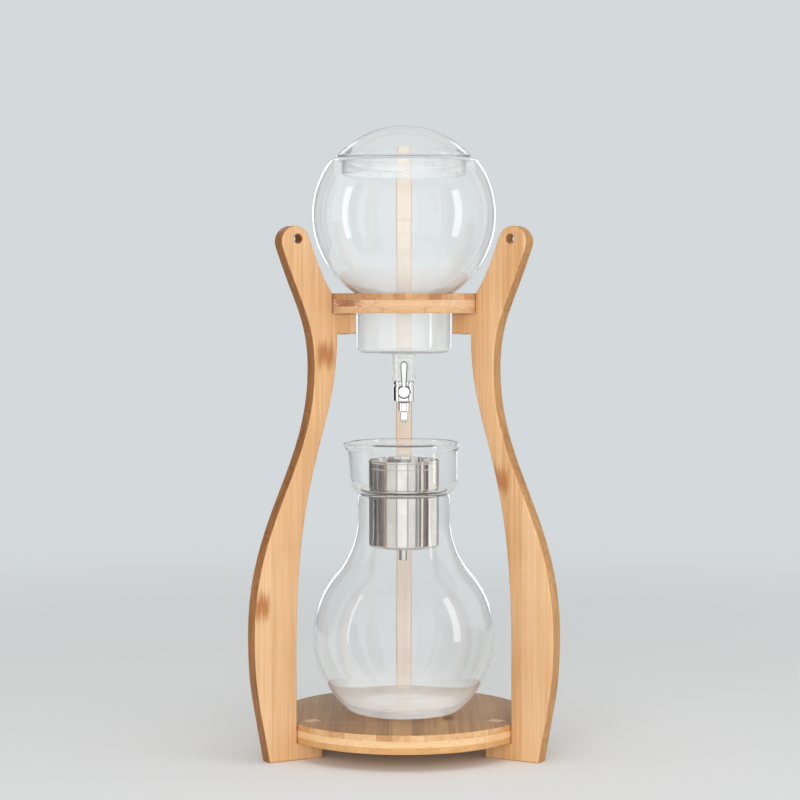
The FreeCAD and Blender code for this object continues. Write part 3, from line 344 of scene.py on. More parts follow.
FACE_TONES, FACE_GLUE = ("EDC498", "E2B281", "CE9A65"), "B06C34"
# The front left leg's edge tones are darker than the right's: painted shade.
PAINTED_SHADE_EDGE = (("C08A55", "A26C3E", "74482A"), "6B3F22")
TAN_EDGE = (("DCAE78", "C5925B", "A06C3E"), "8A5A32")
# The back leg's inner edge tones are near white: painted light where that edge faces the lamps.
PAINTED_LIGHT_EDGE = (("FEF0E2", "FBE6D2", "F3D8BE"), "D8B490")
EDGES = {
    "leg_front_left": (PAINTED_SHADE_EDGE, PAINTED_SHADE_EDGE),
    "leg_front_right": (TAN_EDGE, TAN_EDGE),
    "leg_back": (PAINTED_LIGHT_EDGE, TAN_EDGE),
}
KNOTS = {
    "leg_front_left": [(72.5, 309.0), (128.0, 120.0)],
    "leg_front_right": [(88.0, 214.0)],
    "leg_back": [(104.0, 260.0), (112.0, 150.0)],
}
for node, azimuth in LEG_ANGLES.items():
    tall = node == "leg_back"
    horn = BACK_HORN if tall else FRONT_HORN
    hole_at = Vector(horn) + Vector((-HOLE_IN, HOLE_UP))
    hole = [tuple(tuple(hole_at + Vector(p)) for p in run) for run in round_outline(HANG_HOLE)]
    bm = plate(node, [leg_outline(horn, tall), hole], LEG_THICK, LEG_ROUND)
    for face in bm.faces:
        if abs(face.normal.z) < EDGE_TILT:
            face.material_index = 1 if face.normal.x < 0 else 2
    tenon_low = BASE_BOTTOM - TENON_ROOT
    tenon = bmesh.ops.create_cube(bm, size=1.0)["verts"]
    bmesh.ops.scale(bm, vec=(TENON_LONG, BASE_TOP - tenon_low, TENON_WIDE), verts=tenon)
    bmesh.ops.translate(bm, vec=(TENON_NEAR + TENON_LONG / 2, (BASE_TOP + tenon_low) / 2, 0),
                        verts=tenon)
    stand_up = Matrix.Rotation(math.radians(azimuth), 4, "Z") @ Matrix.Rotation(math.pi / 2, 4, "X")
    bmesh.ops.transform(bm, matrix=stand_up, verts=bm.verts)
    turn = (0, 0, math.radians(-azimuth))
    seed = azimuth / 7
    face_wood = bamboo("bamboo_face_" + node, turn, LEG_STRIP, FACE_TONES, FACE_GLUE, KNOTS[node],
                       seed)
    inner_wood, outer_wood = [
        bamboo("bamboo_" + side + "_edge_" + node, turn, LEG_STRIP, tones, glue, [], seed,
               gloss=0.2, contrast=0.2)
        for side, (tones, glue) in zip(("inner", "outer"), EDGES[node])
    ]
    finish_piece(node.replace("leg_", "bamboo_leg_"), bm, "stand",
                 [face_wood, inner_wood, outer_wood], [node])

# Upper ring. A smaller round board with the hole that the globe's neck hangs in. It lies on the
# three brackets and is held by a countersunk wood screw from below through each of them.
RING_RADIUS, RING_HOLE = 66.0, 38.6
bm = board("ring_disc", [round_outline(RING_RADIUS), round_outline(RING_HOLE)],
           RING_BOTTOM, RING_TOP)
ring_top = bamboo("bamboo_ring_lacquered", LYING, TOP_STRIP, ("DBAB7C", "C99768", "AE7A4C"),
                  "8A4E28", [(20, 30)], 1.9)
ring_middle = ply("bamboo_ring_middle_ply", ("EFCBA6", "E5BB94", "D6A67A"), "8E5028", [(50, 43)],
                  2.6)
ring_low = ply("bamboo_ring_low_ply", ("EDC498", "DFB082", "CB9866"), "9A6238", [], 4.4)
finish_piece("ring_disc", bm, "stand", [ring_top, ring_top, ring_middle, ring_low],
             ["upper_ring"])

# Water globe. Blown borosilicate glass, clear, with a turned-in mouth, a neck cup that hangs in
# the ring, and a small outlet tube with a beaded end drawn from the middle of the cup.
GLASS_TURNS, ARC_STEP, CORNER_STEPS, SEAM_GAP = 144, 4.0, 6, 0.001


def turned(*steps, around=GLASS_TURNS, closed=True):
    """Turns a half section about the tower's axis. A step is (x, z) for a straight line to a
    corner, (x, z, setback) for a rounded corner, or (x, z, 0, degrees) for a sweep about it."""
    bm = bmesh.new()
    first = last = None
    soft = []
    for step in steps:
        x, z = step[:2]
        if len(step) < 4:
            corner = bm.verts.new((x, 0, z))
            if last is None:
                first = corner
            else:
                bm.edges.new((last, corner))
            if len(step) == 3:
                soft.append((corner, step[2]))
            last = corner
        else:
            count = max(2, round(abs(step[3]) / ARC_STEP))
            swept = bmesh.ops.spin(bm, geom=[last], cent=(x, 0, z), axis=(0, -1, 0),
                                   angle=math.radians(step[3]), steps=count)
            last = swept["geom_last"][0]
    if closed:
        bm.edges.new((last, first))
    for corner, setback in soft:
        bmesh.ops.bevel(bm, geom=[corner], offset=setback, offset_type="OFFSET",
                        segments=CORNER_STEPS, profile=0.5, affect="VERTICES", material=-1)
    bmesh.ops.spin(bm, geom=bm.verts[:] + bm.edges[:], cent=(0, 0, 0), axis=(0, 0, 1),
                   angle=math.tau, steps=around, use_merge=True)
    bmesh.ops.remove_doubles(bm, verts=bm.verts, dist=SEAM_GAP)
    bmesh.ops.recalc_face_normals(bm, faces=bm.faces)
    return bm


def glass(name, tint, ripple, low, high, haze, glow):
    """Clear borosilicate glass. Blowing leaves a ripple of 36 mm and a faint bloom of 17 mm. Its
    haze, in 22 mm streaks, is thin at the upper of two heights and thicker towards the lower.
    The glow is painted light, an emission that stands in for the room's light that the wall
    gathers, where it is clear and where it is milky.
    Lamps reach what is behind it, because a renderer would otherwise give it a solid shadow."""
    material, tree, surface = new_material(name)
    where = add(tree, "TexCoord", out="Object")
    height = add(tree, "SeparateXYZ", {0: where}, out="Z")
    deep = add(tree, "MapRange", {"Value": height, "From Min": low * MM, "From Max": high * MM,
                                  "To Min": 1.0, "To Max": 0.0}, interpolation_type="SMOOTHSTEP")
    drawn = add(tree, "Mapping", {"Vector": where, "Scale": (1, 1, 0.2)})
    streak = add(tree, "TexNoise", {"Vector": drawn, "Scale": 1 / (22 * MM), "Detail": 1.0})
    streak = add(tree, "MapRange", {"Value": streak, "From Min": 0.3, "From Max": 0.7,
                                    "To Min": 0.6, "To Max": 1.0})
    milk = add(tree, "Math", {0: deep, 1: streak}, operation="MULTIPLY")
    passing = add(tree, "MapRange", {"Value": milk, "To Min": 0.97, "To Max": 1.0 - haze})
    waves = add(tree, "TexNoise", {"Vector": where, "Scale": 1 / (36 * MM), "Detail": 1.0})
    bump = add(tree, "Bump", {"Height": waves, "Strength": ripple, "Distance": 0.002})
    bloom = add(tree, "TexNoise", {"Vector": where, "Scale": 1 / (17 * MM), "Detail": 4.0})
    rough = add(tree, "MapRange", {"Value": bloom, "From Min": 0.45, "From Max": 0.8,
                                   "To Min": 0.0, "To Max": 0.05})
    # Painted light: the glass glows, with one strength where it is clear and another where it is
    # milky.
    painted_glow = add(tree, "MapRange", {"Value": milk, "To Min": glow[0], "To Max": glow[1]})
    clear = add(tree, "BsdfPrincipled", {
        "Base Color": linear(tint), "Roughness": rough, "Normal": bump, "IOR": 1.47,
        "Transmission Weight": passing, "Emission Color": linear("FFFDFB"),
        "Emission Strength": painted_glow,
    })
    path = add(tree, "LightPath", out="Is Shadow Ray")
    through = add(tree, "BsdfTransparent", {"Color": linear(tint)})
    shader = add(tree, "MixShader", {0: path, 1: clear, 2: through})
    tree.links.new(shader, surface)
    return material


globe_glass = glass("borosilicate_glass_globe", "FDFEFE", 0.10, 358, 392, 0.2, (0.018, 0.02))
GLOBE_WALL, GLOBE_Z, MOUTH_RADIUS, MOUTH_TOP, MOUTH_ROUND = 2.2, 416.54, 49.6, 460.44, 0.9
SHOULDER = Vector((52.74, 452.44))
NECK_RADIUS, NECK_BOTTOM, NECK_ROUND = 37.1, 309.4, 5.5
FILLET = Vector((38.3, 354.4))
OUTLET_RADIUS, OUTLET_WALL, OUTLET_END, OUTLET_ROUND, OUTLET_ROUND_IN = 9.4, 2.0, 287.3, 2.4, 3.6
BEAD_REACH, BEAD_CROWN, BEAD_TOP, BEAD_ROUND = 0.7, 1.8, 3.8, 0.8


def globe_section():
    """The wall, from the mouth down the outside to the outlet and back up the inside."""
    shoulder_angle = math.degrees(math.atan2(SHOULDER.y - GLOBE_Z, SHOULDER.x))
    neck_angle = math.degrees(math.atan2(GLOBE_Z - FILLET.y, FILLET.x))
    inner_neck = NECK_RADIUS - GLOBE_WALL
    cup_floor = NECK_BOTTOM + GLOBE_WALL
    bore = OUTLET_RADIUS - OUTLET_WALL
    return [
        (MOUTH_RADIUS, MOUTH_TOP, MOUTH_ROUND),
        (SHOULDER.x, MOUTH_TOP),
        (*SHOULDER, 0, shoulder_angle - 90),
        (0, GLOBE_Z, 0, -neck_angle - shoulder_angle),
        (*FILLET, 0, neck_angle),
        (NECK_RADIUS, NECK_BOTTOM, NECK_ROUND),
        (OUTLET_RADIUS, NECK_BOTTOM, OUTLET_ROUND),
        (OUTLET_RADIUS, OUTLET_END + BEAD_TOP, BEAD_ROUND),
        (OUTLET_RADIUS + BEAD_REACH, OUTLET_END + BEAD_CROWN, 1.0),
        (OUTLET_RADIUS, OUTLET_END, BEAD_ROUND),
        (bore, OUTLET_END, BEAD_ROUND),
        (bore, cup_floor, OUTLET_ROUND_IN),
        (inner_neck, cup_floor, NECK_ROUND - GLOBE_WALL),
        (inner_neck, FILLET.y),
        (*FILLET, 0, -neck_angle),
        (0, GLOBE_Z, 0, neck_angle + shoulder_angle),
        (*SHOULDER, 0, 90 - shoulder_angle),
        (MOUTH_RADIUS, MOUTH_TOP - GLOBE_WALL, MOUTH_ROUND),
    ]


finish_piece("globe_glass", turned(*globe_section()), "water_globe", [globe_glass],
             ["globe"])

# Lid. A pressed glass dome that carries on the globe's curve. Its rim lies on the globe's mouth
# and its skirt drops inside, so that it lifts straight off.
LID_RADIUS, LID_CENTRE, LID_DOME, LID_WALL, LID_RIM = 52.9, 414.74, 70.9, 2.2, 460.64
LID_ROUND, SKIRT_OUT, SKIRT_DEEP, SKIRT_ROUND = 0.7, 48.6, 13.3, 1.0
lid_angle = math.degrees(math.asin(LID_RADIUS / LID_DOME))
inner_dome = LID_DOME - LID_WALL
skirt_in = SKIRT_OUT - LID_WALL
inner_angle = math.degrees(math.asin(skirt_in / inner_dome))
lid_section = [
    (0, LID_CENTRE + LID_DOME),
    (0, LID_CENTRE, 0, -lid_angle),
    (LID_RADIUS, LID_RIM, LID_ROUND),
    (SKIRT_OUT, LID_RIM, LID_ROUND),
    (SKIRT_OUT, LID_RIM - SKIRT_DEEP, SKIRT_ROUND),
    (skirt_in, LID_RIM - SKIRT_DEEP, SKIRT_ROUND),
    (skirt_in, LID_CENTRE + inner_dome * math.cos(math.radians(inner_angle))),
    (0, LID_CENTRE, 0, inner_angle),
]
lid_glass = glass("pressed_glass_lid", "FCFDFD", 0.08, 447, 464, 0.35, (0.01, 0.015))
finish_piece("lid_glass", turned(*lid_section, closed=False), "globe_lid", [lid_glass],
             ["lid"])

# Outlet stopper. A soft white silicone bung, moulded and pushed up into the globe's outlet, where
# it grips the tap's stem. It is milky, with clouds of about 3 mm, and light goes a little way in.
STOPPER_RADIUS, STOPPER_TOP, STOPPER_TAPER, STOPPER_GAP, STEM_RADIUS = 7.35, 305.3, 0.3, 0.1, 3.2
material, tree, surface = new_material("silicone_moulded")
where = add(tree, "TexCoord", out="Object")
cloud = add(tree, "TexNoise", {"Vector": where, "Scale": 1 / (3.3 * MM), "Detail": 3.0})
milk = add(tree, "ValToRGB", {0: cloud},
           stops=[(0.3, linear("E9E7E2")), (0.7, linear("F6F5F2"))])
rough = add(tree, "MapRange", {"Value": cloud, "To Min": 0.35, "To Max": 0.5})
tree.links.new(add(tree, "BsdfPrincipled", {
    "Base Color": milk, "Roughness": rough, "IOR": 1.41, "Subsurface Weight": 0.3,
    "Subsurface Radius": (0.004, 0.004, 0.003), "Subsurface Scale": 1.0,
}), surface)
stopper_low = OUTLET_END + STOPPER_GAP
stopper_section = [
    (STEM_RADIUS, STOPPER_TOP, 0.4), (STOPPER_RADIUS, STOPPER_TOP, 1.2),
    (STOPPER_RADIUS - STOPPER_TAPER, stopper_low, 0.4), (STEM_RADIUS, stopper_low, 0.3),
]
finish_piece("stopper_silicone", turned(*stopper_section, around=64), "water_globe", [material],
             ["outlet_stopper"])

# Tap. A turned brass body with a stem, a quarter-turn plug and a stepped drip nozzle, polished
# and chromed. The lever is a flat handle on a round hub. Their rounded edges and sides are
# painted black, as a painted dark reflection in the bent chrome.
TAP_TURNS, PLUG_AXIS = 72, 279.1


def polished(name, tones, rough_low, rough_high, grain):
    """Bright metal. Polishing leaves a fine grain that breaks up the gloss a little. Its real
    0.05 mm is drawn as coarse as the given millimetres across X, Y and Z so that it shows, and
    handling dulls it in patches of 14 mm. The mirror shows what stands round it."""
    material, tree, surface = new_material(name)
    where = add(tree, "TexCoord", out="Object")
    drawn = add(tree, "Mapping", {"Vector": where, "Scale": [1 / (g * MM) for g in grain]})
    lines = add(tree, "TexNoise", {"Vector": drawn, "Scale": 1.0, "Detail": 3.0})
    wear = add(tree, "TexNoise", {"Vector": where, "Scale": 1 / (14 * MM), "Detail": 4.0})
    tint = add(tree, "ValToRGB", {0: wear},
               stops=[(0.35, linear(tones[0])), (0.65, linear(tones[1]))])
    rough = add(tree, "MapRange", {"Value": lines, "From Min": 0.3, "From Max": 0.7,
                                   "To Min": rough_low, "To Max": rough_high})
    shader = add(tree, "BsdfPrincipled", {"Base Color": tint, "Roughness": rough,
                                          "Metallic": 1.0})
    tree.links.new(shader, surface)
    return material


chrome = polished("chrome_plate_polished", ("E6E7EA", "F2F3F4"), 0.03, 0.08, (3.3, 3.3, 0.33))
STEM_TOP, STEM_HEAD, HEAD_THICK, STEM_SUNK, FLOW = 306.9, 4.3, 1.6, 4.0, 1.5
stem_section = [
    (FLOW, STEM_TOP, 0.3), (STEM_HEAD, STEM_TOP, 0.5), (STEM_HEAD, STEM_TOP - HEAD_THICK, 0.3),
    (STEM_RADIUS, STEM_TOP - HEAD_THICK), (STEM_RADIUS, OUTLET_END - STEM_SUNK),
    (FLOW, OUTLET_END - STEM_SUNK),
]
finish_piece("stem_chrome", turned(*stem_section, around=TAP_TURNS), "water_globe", [chrome],
             ["valve_stem"])

VALVE_RADIUS, VALVE_BORE, VALVE_BOTTOM, VALVE_GAP = 8.35, 2.9, 270.9, 0.05
LINE_TOP, LINE_LOW, LINE_SLOPE, LINE_DEEP = 2.6, 4.0, 0.4, 0.5
valve_top = OUTLET_END - VALVE_GAP
line_floor = VALVE_RADIUS - LINE_DEEP
valve_section = [
    (VALVE_BORE, valve_top, 0.3), (VALVE_RADIUS, valve_top, 0.9),
    (VALVE_RADIUS, OUTLET_END - LINE_TOP, 0.2),
    (line_floor, OUTLET_END - LINE_TOP - LINE_SLOPE, 0.2),
    (line_floor, OUTLET_END - LINE_LOW + LINE_SLOPE, 0.2),
    (VALVE_RADIUS, OUTLET_END - LINE_LOW, 0.2),
    (VALVE_RADIUS, VALVE_BOTTOM, 1.4), (VALVE_BORE, VALVE_BOTTOM, 0.3),
]
finish_piece("valve_chrome", turned(*valve_section, around=TAP_TURNS), "water_globe", [chrome],
             ["valve_body"])

NOZZLE_TOP, NOZZLE_STEP, NOZZLE_TAPER, NOZZLE_END = 270.3, 263.3, 257.3, 254.7
NOZZLE_BORE, NOZZLE_WIDE, NOZZLE_NARROW, NOZZLE_TIP = 1.2, 4.5, 2.8, 2.2
nozzle_section = [
    (NOZZLE_BORE, NOZZLE_TOP), (NOZZLE_WIDE, NOZZLE_TOP, 0.3), (NOZZLE_WIDE, NOZZLE_STEP, 0.8),
    (NOZZLE_NARROW, NOZZLE_STEP, 0.3), (NOZZLE_NARROW, NOZZLE_TAPER),
    (NOZZLE_TIP, NOZZLE_END, 0.5), (NOZZLE_BORE, NOZZLE_END, 0.3),
]
finish_piece("nozzle_chrome", turned(*nozzle_section, around=TAP_TURNS), "water_globe", [chrome],
             ["valve_nozzle"])

HUB_FRONT, HUB_BACK, HUB_RADIUS, HUB_FLAT, HUB_EASE, HUB_CROWN = -13.3, -8.7, 5.2, 2.8, 0.2, 0.05
hub_section = [
    (0, HUB_BACK), (HUB_RADIUS, HUB_BACK, 0.3), (HUB_RADIUS, HUB_FRONT + HUB_EASE, 1.2),
    (HUB_FLAT, HUB_FRONT), (0, HUB_FRONT - HUB_CROWN),
]
bm = turned(*hub_section, around=TAP_TURNS, closed=False)
LEVER_START, LEVER_ROOT, LEVER_TIP, LEVER_LONG = 3.0, 1.7, 2.7, 21.2
LEVER_THICK, LEVER_ROUND, LEVER_FLAT = 2.4, 1.15, -0.96
reach = LEVER_TIP * CIRCLE_HANDLE
handle_runs = [
    (None, None, (LEVER_TIP, LEVER_LONG)),
    ((LEVER_TIP, LEVER_LONG + reach), (reach, LEVER_LONG + LEVER_TIP),
     (0, LEVER_LONG + LEVER_TIP)),
    ((-reach, LEVER_LONG + LEVER_TIP), (-LEVER_TIP, LEVER_LONG + reach),
     (-LEVER_TIP, LEVER_LONG)),
    (None, None, (-LEVER_ROOT, LEVER_START)),
    (None, None, (LEVER_ROOT, LEVER_START)),
]
handle = plate("handle", [handle_runs], LEVER_THICK, LEVER_ROUND)


def join(bm, part):
    """Adds another mesh to a mesh, and frees the other."""
    whole = bpy.data.meshes.new("whole")
    part.to_mesh(whole)
    part.free()
    bm.from_mesh(whole)
    bpy.data.meshes.remove(whole)


bmesh.ops.rotate(bm, matrix=Matrix.Rotation(-math.pi / 2, 3, "X"), cent=(0, 0, 0), verts=bm.verts)
bmesh.ops.rotate(handle, matrix=Matrix.Rotation(math.pi / 2, 3, "X"), cent=(0, 0, 0),
                 verts=handle.verts)
bmesh.ops.translate(handle, vec=(0, HUB_FRONT + LEVER_THICK / 2, 0), verts=handle.verts)
join(bm, handle)
bmesh.ops.translate(bm, vec=(0, 0, PLUG_AXIS), verts=bm.verts)
bm.normal_update()
# Every face except the flat front ones is drawn black, as painted dark reflection.
for face in bm.faces:
    face.material_index = int(face.normal.y > LEVER_FLAT)
# The painted dark reflection is a glossy black, with a faint orange peel of about 1 mm.
material, tree, surface = new_material("painted_dark_reflection")
where = add(tree, "TexCoord", out="Object")
dimple = add(tree, "TexNoise", {"Vector": where, "Scale": 1 / (1.1 * MM), "Detail": 2.0})
rough = add(tree, "MapRange", {"Value": dimple, "To Min": 0.25, "To Max": 0.45})
tree.links.new(add(tree, "BsdfPrincipled", {
    "Base Color": linear("1B1A1F"), "Roughness": rough, "IOR": 1.5,
}), surface)
finish_piece("lever_chrome", bm, "tap_plug", [chrome, material], ["valve_lever"])

# Carafe. Blown borosilicate glass with a thick, slightly hollow foot, a waist that the filter
# hangs in, and a collar with a beaded rim. The pouring lip was pulled out of the hot rim.
# The carafe's milky foot glows most: painted light.
carafe_glass = glass("borosilicate_glass_carafe", "FDFEFE", 0.09, 26, 60, 0.30, (0.005, 0.10))
CARAFE_BASE, CARAFE_RIM, CARAFE_WALL, FLOOR_THICK, FLOOR_RISE = 28.3, 239.9, 2.2, 5.5, 0.8
FOOT_FLAT, PUNT_RADIUS, PUNT_EDGE, PUNT_DEEP = 26.0, 21.0, 1.4, 1.7
FOOT, INNER_FOOT = Vector((37.33, 40.3)), Vector((38.1, 49.8))
BULB, BULB_ROUND = Vector((-5.0, 88.3)), 76.0
HOLLOW = Vector((99.61, 180.3))
COLLAR_CURVE, COLLAR_MIDDLE, COLLAR_LOW = 14.106, 27.994, 211.3
NECK_CURVE, NECK_MIDDLE, NECK_HIGH = 7.0, 29.3, 194.8
COLLAR_RADIUS, CARAFE_NECK = 42.1, 36.3
RIM_REACH, RIM_DEEP, RIM_FADE, RIM_ROUND = 1.3, 4.2, 6.0, 1.2
SPOUT_REACH, SPOUT_WIDTH, SPOUT_DEEP, SPOUT_DROP, SPOUT_FULL = 4.6, 20.0, 11.0, 0.8, 0.7


def angle_between(centre, start, end):
    """Degrees swept from one point to another about a centre, anticlockwise positive."""
    first, second = start - centre, end - centre
    return math.degrees(math.atan2(first.x * second.y - first.y * second.x, first.dot(second)))


def crossing(big, small, middle_a, middle_b):
    """The outer point where the collar's curve meets the neck's."""
    span = middle_b - middle_a
    apart = span.length
    along = (big * big - small * small + apart * apart) / (2 * apart)
    off = math.sqrt(big * big - along * along)
    way = span / apart
    return middle_a + way * along + Vector((-way.y, way.x)) * off


def carafe_side(inset, low_centre):
    """The wall's line from the collar down to the turn of the foot, moved in by its thickness."""
    collar = Vector((COLLAR_MIDDLE, COLLAR_LOW))
    neck = Vector((NECK_MIDDLE, NECK_HIGH))
    groove = crossing(COLLAR_CURVE - inset, NECK_CURVE - inset, collar, neck)
    collar_start = Vector((COLLAR_RADIUS - inset, COLLAR_LOW))
    neck_end = Vector((CARAFE_NECK - inset, NECK_HIGH))
    neck_low = Vector((CARAFE_NECK - inset, HOLLOW.y))
    tangent = BULB + (HOLLOW - BULB).normalized() * (BULB_ROUND - inset)
    turn = BULB + (low_centre - BULB).normalized() * (BULB_ROUND - inset)
    low = Vector((low_centre.x, low_centre.y - (turn - low_centre).length))
    return [
        tuple(collar_start),
        (*collar, 0, angle_between(collar, collar_start, groove)),
        (*neck, 0, angle_between(neck, groove, neck_end)),
        tuple(neck_low),
        (*HOLLOW, 0, angle_between(HOLLOW, neck_low, tangent)),
        (*BULB, 0, angle_between(BULB, tangent, turn)),
        (*low_centre, 0, angle_between(low_centre, turn, low)),
    ]


def backwards(steps):
    """The same line drawn from its other end."""
    ends = []
    for step in steps:
        place = Vector(step[:2])
        if len(step) == 4:
            place += Matrix.Rotation(math.radians(step[3]), 2) @ (ends[-1] - place)
        ends.append(place)
    drawn = [tuple(ends[-1])]
    for index in range(len(steps) - 1, 0, -1):
        step = steps[index]
        if len(step) == 4:
            drawn.append((*step[:2], 0, -step[3]))
        else:
            drawn.append(tuple(ends[index - 1]))
    return drawn


carafe_section = [(0, CARAFE_BASE + FLOOR_THICK + FLOOR_RISE)]
carafe_section += backwards(carafe_side(CARAFE_WALL, INNER_FOOT))
carafe_section += [
    (COLLAR_RADIUS - CARAFE_WALL, CARAFE_RIM, RIM_ROUND),
    (COLLAR_RADIUS + RIM_REACH, CARAFE_RIM, 1.9),
    (COLLAR_RADIUS + RIM_REACH, CARAFE_RIM - RIM_DEEP, 1.4),
    (COLLAR_RADIUS, CARAFE_RIM - RIM_FADE, RIM_ROUND),
]
carafe_section += carafe_side(0, FOOT)
carafe_section += [
    (FOOT_FLAT, CARAFE_BASE, 1.0),
    (PUNT_RADIUS, CARAFE_BASE + PUNT_EDGE, 2.0),
    (0, CARAFE_BASE + PUNT_DEEP),
]
bm = turned(*carafe_section, closed=False)
for vertex in bm.verts:
    across = max(0, 1 - abs(math.atan2(vertex.co.y, -vertex.co.x)) * COLLAR_RADIUS / SPOUT_WIDTH)
    up = max(0, 1 - (CARAFE_RIM - vertex.co.z) / SPOUT_DEEP)
    pull = across * across * (3 - 2 * across) * up ** SPOUT_FULL
    vertex.co.x -= SPOUT_REACH * pull
    vertex.co.z -= SPOUT_DROP * pull
finish_piece("carafe_glass", bm, "coffee_carafe", [carafe_glass],
             ["carafe", "carafe_collar"])

# Coffee filter. Thin stainless steel spun and polished bright: a can with a rolled bottom edge,
# a collar with a beaded rim and a flange, and a drip nozzle. A dark rubber ring seats it.
steel = polished("stainless_steel_polished", ("DAD6D1", "E8E5E1"), 0.03, 0.10, (0.4, 0.4, 160))
FILTER_TURNS, FILTER_RADIUS, SHEET, COLLAR_TOP = 128, 27.5, 0.8, 225.5
ROLL_REACH, ROLL_DEEP, ROLL_FADE = 0.5, 1.4, 1.9
RIB_REACH, RIB_DOWN, RIB_HALF = 0.3, 6.0, 0.4
FLANGE, FLANGE_RADIUS = 202.5, 34.0
SPIGOT_GAP, SPIGOT_LONG, SPIGOT_LEDGE, SPIGOT_EASE = 0.1, 7.0, 0.4, 1.2
wall_in = FILTER_RADIUS - SHEET
roll = FILTER_RADIUS + ROLL_REACH
rib = COLLAR_TOP - RIB_DOWN
spigot_out = wall_in - SPIGOT_GAP
spigot_in = spigot_out - SHEET
collar_section = [
    (wall_in, COLLAR_TOP, 0.35), (roll, COLLAR_TOP, 0.45), (roll, COLLAR_TOP - ROLL_DEEP, 0.45),
    (FILTER_RADIUS, COLLAR_TOP - ROLL_FADE, 0.3), (FILTER_RADIUS, rib + RIB_HALF, 0.2),
    (FILTER_RADIUS + RIB_REACH, rib, 0.2), (FILTER_RADIUS, rib - RIB_HALF, 0.2),
    (FILTER_RADIUS, FLANGE + SHEET, 0.6), (FLANGE_RADIUS, FLANGE + SHEET, 0.3),
    (FLANGE_RADIUS, FLANGE, 0.3), (spigot_out, FLANGE), (spigot_out, FLANGE - SPIGOT_LONG, 0.2),
    (spigot_in, FLANGE - SPIGOT_LONG, 0.2), (spigot_in, FLANGE + SPIGOT_LEDGE, 0.3),
    (wall_in, FLANGE + SPIGOT_EASE, 0.3),
]
finish_piece("filter_collar_steel", turned(*collar_section, around=FILTER_TURNS),
             "coffee_filter", [steel], ["filter_collar"])
CAN_FLOOR, CAN_CORNER, CAN_GAP = 157.3, 2.6, 0.02
can_top, can_floor_in = FLANGE - CAN_GAP, CAN_FLOOR + SHEET
STUB_RADIUS, STUB_BORE, STUB_FLANGE, STUB_FLANGE_TOP, STUB_LONG = 3.9, 2.5, 7.0, 1.6, 11.0
STUB_GAP = 0.01
can_section = [
    (FILTER_RADIUS, can_top, 0.2), (FILTER_RADIUS, CAN_FLOOR, CAN_CORNER),
    (STUB_RADIUS, CAN_FLOOR), (STUB_RADIUS, can_floor_in),
    (wall_in, can_floor_in, CAN_CORNER - SHEET), (wall_in, can_top, 0.2),
]
finish_piece("filter_can_steel", turned(*can_section, around=FILTER_TURNS), "coffee_filter",
             [steel], ["filter_can"])
stub_top, stub_end = CAN_FLOOR + STUB_FLANGE_TOP, CAN_FLOOR - STUB_LONG
stub_section = [
    (STUB_BORE, stub_top, 0.3), (STUB_FLANGE, stub_top, 0.3),
    (STUB_FLANGE, can_floor_in + STUB_GAP, 0.3), (STUB_RADIUS, can_floor_in + STUB_GAP),
    (STUB_RADIUS, stub_end, 0.6), (STUB_BORE, stub_end, 0.3),
]
finish_piece("filter_stub_steel", turned(*stub_section, around=TAP_TURNS), "coffee_filter",
             [steel], ["filter_nozzle"])


def rubber(name, tones):
    """Moulded rubber: dull, with a 2 mm mould texture, and a little dust that greys it."""
    material, tree, surface = new_material(name)
    where = add(tree, "TexCoord", out="Object")
    dust = add(tree, "TexNoise", {"Vector": where, "Scale": 1 / (2 * MM), "Detail": 4.0})
    tint = add(tree, "ValToRGB", {0: dust},
               stops=[(0.35, linear(tones[0])), (0.7, linear(tones[1]))])
    bump = add(tree, "Bump", {"Height": dust, "Strength": 0.2, "Distance": 0.0001})
    shader = add(tree, "BsdfPrincipled", {"Base Color": tint, "Roughness": 0.62, "IOR": 1.52,
                                          "Normal": bump})
    tree.links.new(shader, surface)
    return material


black_rubber = rubber("nitrile_rubber_moulded", ("1D1C1B", "2C2A28"))
SEAT_IN, SEAT_OUT, SEAT_LOW, SEAT_ROUND = 28.3, 33.9, 201.4, 0.4
seat_section = [
    (SEAT_IN, can_top, SEAT_ROUND), (SEAT_OUT, can_top, SEAT_ROUND),
    (SEAT_OUT, SEAT_LOW, SEAT_ROUND), (SEAT_IN, SEAT_LOW, SEAT_ROUND),
]
finish_piece("seat_ring_rubber", turned(*seat_section, around=FILTER_TURNS), "coffee_filter",
             [black_rubber], ["filter_seat_ring"])

# Small parts that keep their CAD shape: the screen and the distributor disc, punched from sheet
# steel, the plug with its O-rings and clip, and the washer between the tap and its nozzle.


def dress(node, material):
    """Gives a CAD node that stays as it is its finish."""
    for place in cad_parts[node].material_slots:
        place.link = "OBJECT"
        place.material = material


satin = polished("stainless_steel_drilled", ("B9B6B0", "CBC8C3"), 0.16, 0.3, (1.1, 1.1, 1.1))
for node, material in (
    ("filter_mesh", satin), ("distributor_disc", satin), ("valve_plug", chrome),
    ("plug_retainer", satin), ("plug_seals", black_rubber), ("nozzle_seal", black_rubber),
):
    dress(node, material)

